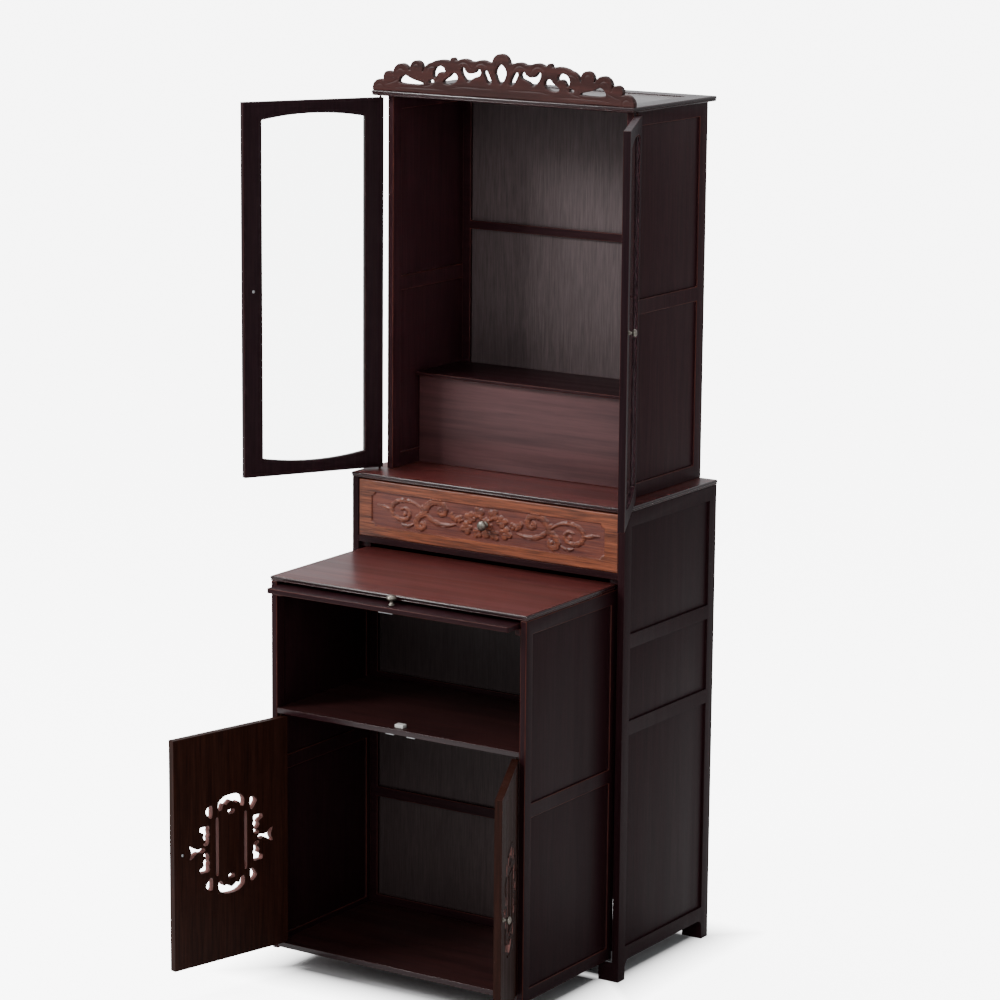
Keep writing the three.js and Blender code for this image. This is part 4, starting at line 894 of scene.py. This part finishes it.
class ALTAR_OT_carved_doors(AltarOperator, bpy.types.Operator):
    """Carves and pierces the lower doors"""
    bl_idname = "altar.carved_doors"
    bl_label = "Carved doors"

    def execute(self, context):
        for side in ("left", "right"):
            self.door(f"table_{side}_door")
        return {"FINISHED"}

    def door(self, body):
        sizes = self.sizes
        node = body + "_panel"
        pin = Vector(JOINTS[body]["pos_m"])
        angle = shutting(body)
        shape = (corners_of(node) - np.array(pin)) @ np.array(Matrix.Rotation(angle, 3, "Z")).T
        low, high = shape.min(0), shape.max(0)
        slab_low, slab_high = low[2] + PIN_BELOW, high[2] - PIN_ABOVE
        thickness = CARVED_DOOR
        outer = high[1] - thickness
        middle_x = (low[0] + high[0]) / 2
        middle_z = (slab_low + slab_high) / 2
        reach = 0.116
        fine = sizes.cell * 1.04
        xs = graded(low[0], high[0], middle_x - reach, middle_x + reach, fine, 0.012)
        zs = graded(slab_low, slab_high, middle_z - reach, middle_z + reach, fine, 0.012)
        x, z = np.meshgrid((xs - middle_x) * 1000, (zs - middle_z) * 1000)
        inside = np.full(x.shape, 50.0)
        pierce_medallion(x, z, inside)
        edge = np.clip(inside, 0, None)
        fall = rounding(edge, sizes.door_round * 1000)
        relief = np.zeros(x.shape)
        raise_strokes(x, z, relief, medallion_relief(), 3.0)
        front = outer + (fall - relief) / 1000
        back = outer + thickness - rounding(edge, 1.2) / 1000
        mesh = carved_sheet(body + "_carving", xs, zs, inside, front, back)
        self.pins(mesh, (low[2], slab_low + 0.002), (slab_high - 0.002, high[2]))
        set_mask(mesh, np.zeros(len(mesh.vertices)))
        cut = mesh.attributes.new("ground", "FLOAT", "FACE")
        cut.data.foreach_set("value", [
            abs(face.center.y - outer - thickness / 2) < thickness / 4
            and max(abs(face.center.x - middle_x), abs(face.center.z - middle_z)) < reach
            for face in mesh.polygons
        ])
        mesh.transform(Matrix.Translation(pin) @ Matrix.Rotation(-angle, 4, "Z"))
        smooth(mesh, 50)
        new_piece(body + "_carving", mesh, woods()["door"], node)

    def pins(self, mesh, *spans):
        """Adds the door's pins, on its hinge line at the origin."""
        bm = bmesh.new()
        bm.from_mesh(mesh)
        for start, end in spans:
            place = Matrix.Translation((0, 0, (start + end) / 2))
            bmesh.ops.create_cone(bm, cap_ends=True, segments=20, radius1=self.sizes.pin, radius2=self.sizes.pin,
                                  depth=end - start, matrix=place)
        bm.to_mesh(mesh)
        bm.free()


class ALTAR_OT_glazed_doors(AltarOperator, bpy.types.Operator):
    """Softens the glazed doors' frames and gives them their glass"""
    bl_idname = "altar.glazed_doors"
    bl_label = "Glazed doors"

    def execute(self, context):
        finish, glass = woods(), pane_glass()
        self.boards([f"shrine_{side}_door_frame" for side in ("left", "right")], finish["door_frame"],
                    self.sizes.door_arris)
        for side in ("left", "right"):
            pane = frame["nodes"][f"shrine_{side}_door_glass"]
            pane.data.materials.clear()
            pane.data.materials.append(glass)
        return {"FINISHED"}


KNOB_PROFILE = [
    (0.0, 0.0), (0.62, 0.0), (0.64, 0.04), (0.58, 0.10), (0.42, 0.15), (0.36, 0.24), (0.34, 0.34), (0.38, 0.42),
    (0.60, 0.46), (0.84, 0.53), (0.97, 0.62), (1.0, 0.70), (0.95, 0.80), (0.78, 0.90), (0.50, 0.97), (0.22, 0.995),
    (0.0, 1.0),
]


class ALTAR_OT_knobs(AltarOperator, bpy.types.Operator):
    """Turns the knobs"""
    bl_idname = "altar.knobs"
    bl_label = "Knobs"

    def execute(self, context):
        tone = bpy.context.scene.altar_colours.metal
        finish = metal("Antique metal", tone)
        for node in [name for name in frame["nodes"] if name.endswith("_knob")]:
            self.turn(node, finish)
        return {"FINISHED"}

    def turn(self, node, finish):
        steps = self.sizes.knob_steps
        shape = corners_of(node)
        body = PACKED_BODIES[node]
        if node == "flap_knob":
            axis = np.array([0.0, 0.0, 1.0])
        elif body == "drawer":
            axis = np.array([0.0, -1.0, 0.0])
        else:
            axis = np.array(Matrix.Rotation(-shutting(body), 3, "Z") @ Vector((0, -1, 0)))
        height = shape @ axis
        base, top = height.min(), height.max()
        seat = shape[np.abs(height - base) < 1e-5].mean(0)
        away = shape - seat
        radius = np.linalg.norm(away - np.outer(away @ axis, axis), axis=1).max()
        tall = top - base
        bm = bmesh.new()
        profile = [Vector((r * radius, 0, h * tall)) for r, h in KNOB_PROFILE]
        verts = [bm.verts.new(p) for p in profile]
        edges = [bm.edges.new(pair) for pair in zip(verts, verts[1:])]
        bmesh.ops.spin(bm, geom=verts + edges, cent=(0, 0, 0), axis=(0, 0, 1), angle=2 * math.pi, steps=steps)
        bmesh.ops.remove_doubles(bm, verts=bm.verts, dist=1e-6)
        bmesh.ops.recalc_face_normals(bm, faces=bm.faces)
        mesh = bpy.data.meshes.new(node + "_turned")
        bm.to_mesh(mesh)
        bm.free()
        turn = Vector((0, 0, 1)).rotation_difference(Vector(axis)).to_matrix().to_4x4()
        mesh.transform(Matrix.Translation(Vector(seat)) @ turn)
        smooth(mesh, 40)
        new_piece(node + "_turned", mesh, finish, node)


class ALTAR_OT_fittings(AltarOperator, bpy.types.Operator):
    """Finishes the tracks, catches and strike, and sets the screws"""
    bl_idname = "altar.fittings"
    bl_label = "Fittings"

    def execute(self, context):
        steel = metal("Bright steel", (0.55, 0.56, 0.57), (0.25, 0.4), 0.2)
        for node in ("case_left_track", "case_right_track", "left_door_catch", "right_door_catch", "flap_strike"):
            softened(node, steel, self.sizes.back_arris)
        softened("flap_catch", plastic("White plastic", (0.8, 0.79, 0.75)), 0.0008)
        self.screws(steel)
        return {"FINISHED"}

    def screws(self, steel):
        """Screw heads on the inner faces of the doors, behind their knobs."""
        for body in ("shrine_left_door", "shrine_right_door", "table_left_door", "table_right_door"):
            thickness = GLAZED_DOOR if "shrine" in body else CARVED_DOOR
            axis = Matrix.Rotation(-shutting(body), 3, "Z") @ Vector((0, 1, 0))
            points = corners_of(body + "_knob")
            along = points @ np.array(axis)
            seat = Vector(points[np.abs(along - along.max()) < 1e-5].mean(0))
            place = seat + axis * (thickness + 0.0003)
            piece = add_object(body + "_screw", screw_heads([place], axis, self.sizes.screw, steel))
            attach(piece, body)


def screw_tree():
    """Geometry nodes: a domed head on each point, turned to the given direction."""
    tree, given, made = new_group(
        "Screw heads",
        [("Geometry", "Geometry"), ("Radius", "Float"), ("Direction", "Vector"), ("Finish", "Material")],
        [("Geometry", "Geometry")], "GeometryNodeTree",
    )
    ball, squash, aim, instances, real, finish = (tree.nodes.new(kind) for kind in (
        "GeometryNodeMeshUVSphere", "GeometryNodeTransform", "FunctionNodeAlignRotationToVector",
        "GeometryNodeInstanceOnPoints", "GeometryNodeRealizeInstances", "GeometryNodeSetMaterial",
    ))
    constants(ball, {"Segments": 20, "Rings": 10})
    constants(squash, {"Scale": (1.0, 1.0, 0.42)})
    for source, target in (
        (given.outputs["Radius"], ball.inputs["Radius"]),
        (ball.outputs["Mesh"], squash.inputs["Geometry"]),
        (given.outputs["Direction"], aim.inputs["Vector"]),
        (given.outputs["Geometry"], instances.inputs["Points"]),
        (squash.outputs[0], instances.inputs["Instance"]),
        (aim.outputs[0], instances.inputs["Rotation"]),
        (instances.outputs[0], real.inputs[0]),
        (real.outputs[0], finish.inputs["Geometry"]),
        (given.outputs["Finish"], finish.inputs["Material"]),
        (finish.outputs[0], made.inputs[0]),
    ):
        tree.links.new(source, target)
    return tree


def screw_heads(places, direction, radius, material):
    """A plain mesh of the screw heads at some places."""
    tree = bpy.data.node_groups.get("Screw heads") or screw_tree()
    points = bpy.data.meshes.new("screw_places")
    points.from_pydata([tuple(p) for p in places], [], [])
    holder = add_object("screw_places", points)
    modifier = holder.modifiers.new("Screws", "NODES")
    modifier.node_group = tree
    sockets = {item.name: item.identifier for item in tree.interface.items_tree if item.in_out == "INPUT"}
    modifier[sockets["Radius"]] = radius
    modifier[sockets["Direction"]] = tuple(direction)
    modifier[sockets["Finish"]] = material
    bpy.context.view_layer.update()
    mesh = bpy.data.meshes.new_from_object(holder.evaluated_get(bpy.context.evaluated_depsgraph_get()))
    bpy.data.objects.remove(holder)
    smooth(mesh, 60)
    return mesh


def seen_straight(tree):
    """1 for what the camera sees directly or through a pane, without a reflection on the way; also the light path."""
    path = tree.nodes.new("ShaderNodeLightPath")
    seen = maths(tree, "MAXIMUM", path.outputs["Is Camera Ray"], path.outputs["Is Transmission Ray"])
    straight = maths(tree, "LESS_THAN", path.outputs["Glossy Depth"], 0.5)
    return maths(tree, "MULTIPLY", seen, straight), path


class ALTAR_OT_stage(AltarOperator, bpy.types.Operator):
    """Sets the floor, the soft lights and the camera"""
    bl_idname = "altar.stage"
    bl_label = "Stage"

    def execute(self, context):
        self.floor()
        self.lights()
        self.camera()
        return {"FINISHED"}

    def floor(self):
        material, tree, shader, place = new_material("Pale floor")
        constants(shader, {"Base Color": (*bpy.context.scene.altar_colours.floor, 1), "Roughness": 0.9,
                           "Specular IOR Level": 0.1, "Emission Color": (1, 1, 1, 1)})
        seen, _ = seen_straight(tree)
        split = tree.nodes.new("ShaderNodeSeparateXYZ")
        tree.links.new(place, split.inputs[0])
        # The floor glows as the even backdrop away from the cabinet; the glow fades out from 10 cm outside the case's
        # and table's footprints to 3 cm inside them, which paints a soft contact shadow around the cabinet
        gaps = []
        for node in ("case_top", "table_top"):
            low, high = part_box(node)
            sides = []
            for axis in (0, 1):
                off = maths(tree, "SUBTRACT", split.outputs[axis], (low[axis] + high[axis]) / 2)
                sides.append(maths(tree, "SUBTRACT", maths(tree, "ABSOLUTE", off), (high[axis] - low[axis]) / 2))
            gaps.append(maths(tree, "MAXIMUM", *sides))
        glow_with_painted_shadow = spread(tree, maths(tree, "MINIMUM", *gaps), -0.03, 0.10)
        shine = maths(tree, "MULTIPLY", maths(tree, "MULTIPLY", seen, glow_with_painted_shadow), BACKDROP)
        tree.links.new(shine, shader.inputs["Emission Strength"])
        mesh = bpy.data.meshes.new("floor")
        reach = 30.0
        mesh.from_pydata([(-reach, -reach, 0), (reach, -reach, 0), (reach, reach, 0), (-reach, reach, 0)], [],
                         [(0, 1, 2, 3)])
        mesh.materials.append(material)
        add_object("floor", mesh)

    def lights(self):
        world = bpy.context.scene.world or bpy.data.worlds.new("Studio")
        bpy.context.scene.world = world
        world.use_nodes = True
        tree = world.node_tree
        soft = tree.nodes["Background"]
        constants(soft, {"Color": (0.95, 0.97, 1.0, 1)})
        backdrop = tree.nodes.new("ShaderNodeBackground")
        constants(backdrop, {"Color": (1.0, 1.0, 1.0, 1), "Strength": BACKDROP})
        seen, path = seen_straight(tree)
        tree.links.new(spread(tree, path.outputs["Is Glossy Ray"], 0.0, 1.0, 0.32, 0.75), soft.inputs["Strength"])
        choice = tree.nodes.new("ShaderNodeMixShader")
        tree.links.new(seen, choice.inputs[0])
        tree.links.new(soft.outputs[0], choice.inputs[1])
        tree.links.new(backdrop.outputs[0], choice.inputs[2])
        tree.links.new(choice.outputs[0], tree.nodes["World Output"].inputs["Surface"])
        for name, place, target, size, power in LIGHTS:
            data = bpy.data.lights.new(name, "AREA")
            data.shape = "SQUARE"
            data.size = size
            data.energy = power
            lamp = add_object(name, data)
            lamp.location = place
            lamp.rotation_euler = (Vector(target) - Vector(place)).to_track_quat("-Z", "Y").to_euler()

    def camera(self):
        data = bpy.data.cameras.new("camera")
        data.sensor_width = CAMERA_SENSOR
        data.lens = CAMERA_FOCUS * CAMERA_SENSOR
        data.clip_end = 100
        camera = add_object("camera", data)
        turn = (Matrix.Rotation(math.radians(CAMERA_ROUND), 4, "Z")
                @ Matrix.Rotation(math.radians(90 - CAMERA_DOWN), 4, "X")
                @ Matrix.Rotation(math.radians(CAMERA_ROLL), 4, "Z"))
        camera.matrix_world = Matrix.Translation(CAMERA_PLACE) @ turn
        bpy.context.scene.camera = camera


OPERATORS = (ALTAR_OT_stage, ALTAR_OT_case, ALTAR_OT_shrine, ALTAR_OT_table, ALTAR_OT_crest, ALTAR_OT_drawer,
             ALTAR_OT_carved_doors, ALTAR_OT_glazed_doors, ALTAR_OT_knobs, ALTAR_OT_fittings)


class ALTAR_PT_panel(bpy.types.Panel):
    """Lists the cabinet's pieces in the sidebar"""
    bl_idname = "ALTAR_PT_panel"
    bl_label = "Altar cabinet"
    bl_space_type = "VIEW_3D"
    bl_region_type = "UI"
    bl_category = "Altar cabinet"

    def draw(self, context):
        column = self.layout.column()
        for operator in OPERATORS:
            column.operator(operator.bl_idname)
        for group in (context.scene.altar_sizes, context.scene.altar_colours):
            for name in group.bl_rna.properties.keys():
                if name not in ("rna_type", "name"):
                    column.prop(group, name)


CLASSES = (AltarSizes, AltarColours, *OPERATORS, ALTAR_PT_panel)


def register():
    for kind in CLASSES:
        bpy.utils.register_class(kind)
    bpy.types.Scene.altar_sizes = PointerProperty(type=AltarSizes)
    bpy.types.Scene.altar_colours = PointerProperty(type=AltarColours)


def unregister():
    del bpy.types.Scene.altar_colours
    del bpy.types.Scene.altar_sizes
    for kind in reversed(CLASSES):
        bpy.utils.unregister_class(kind)


def main():
    register()
    for operator in OPERATORS:
        area, name = operator.bl_idname.split(".")
        getattr(getattr(bpy.ops, area), name)()


if __name__ == "__main__":
    main()
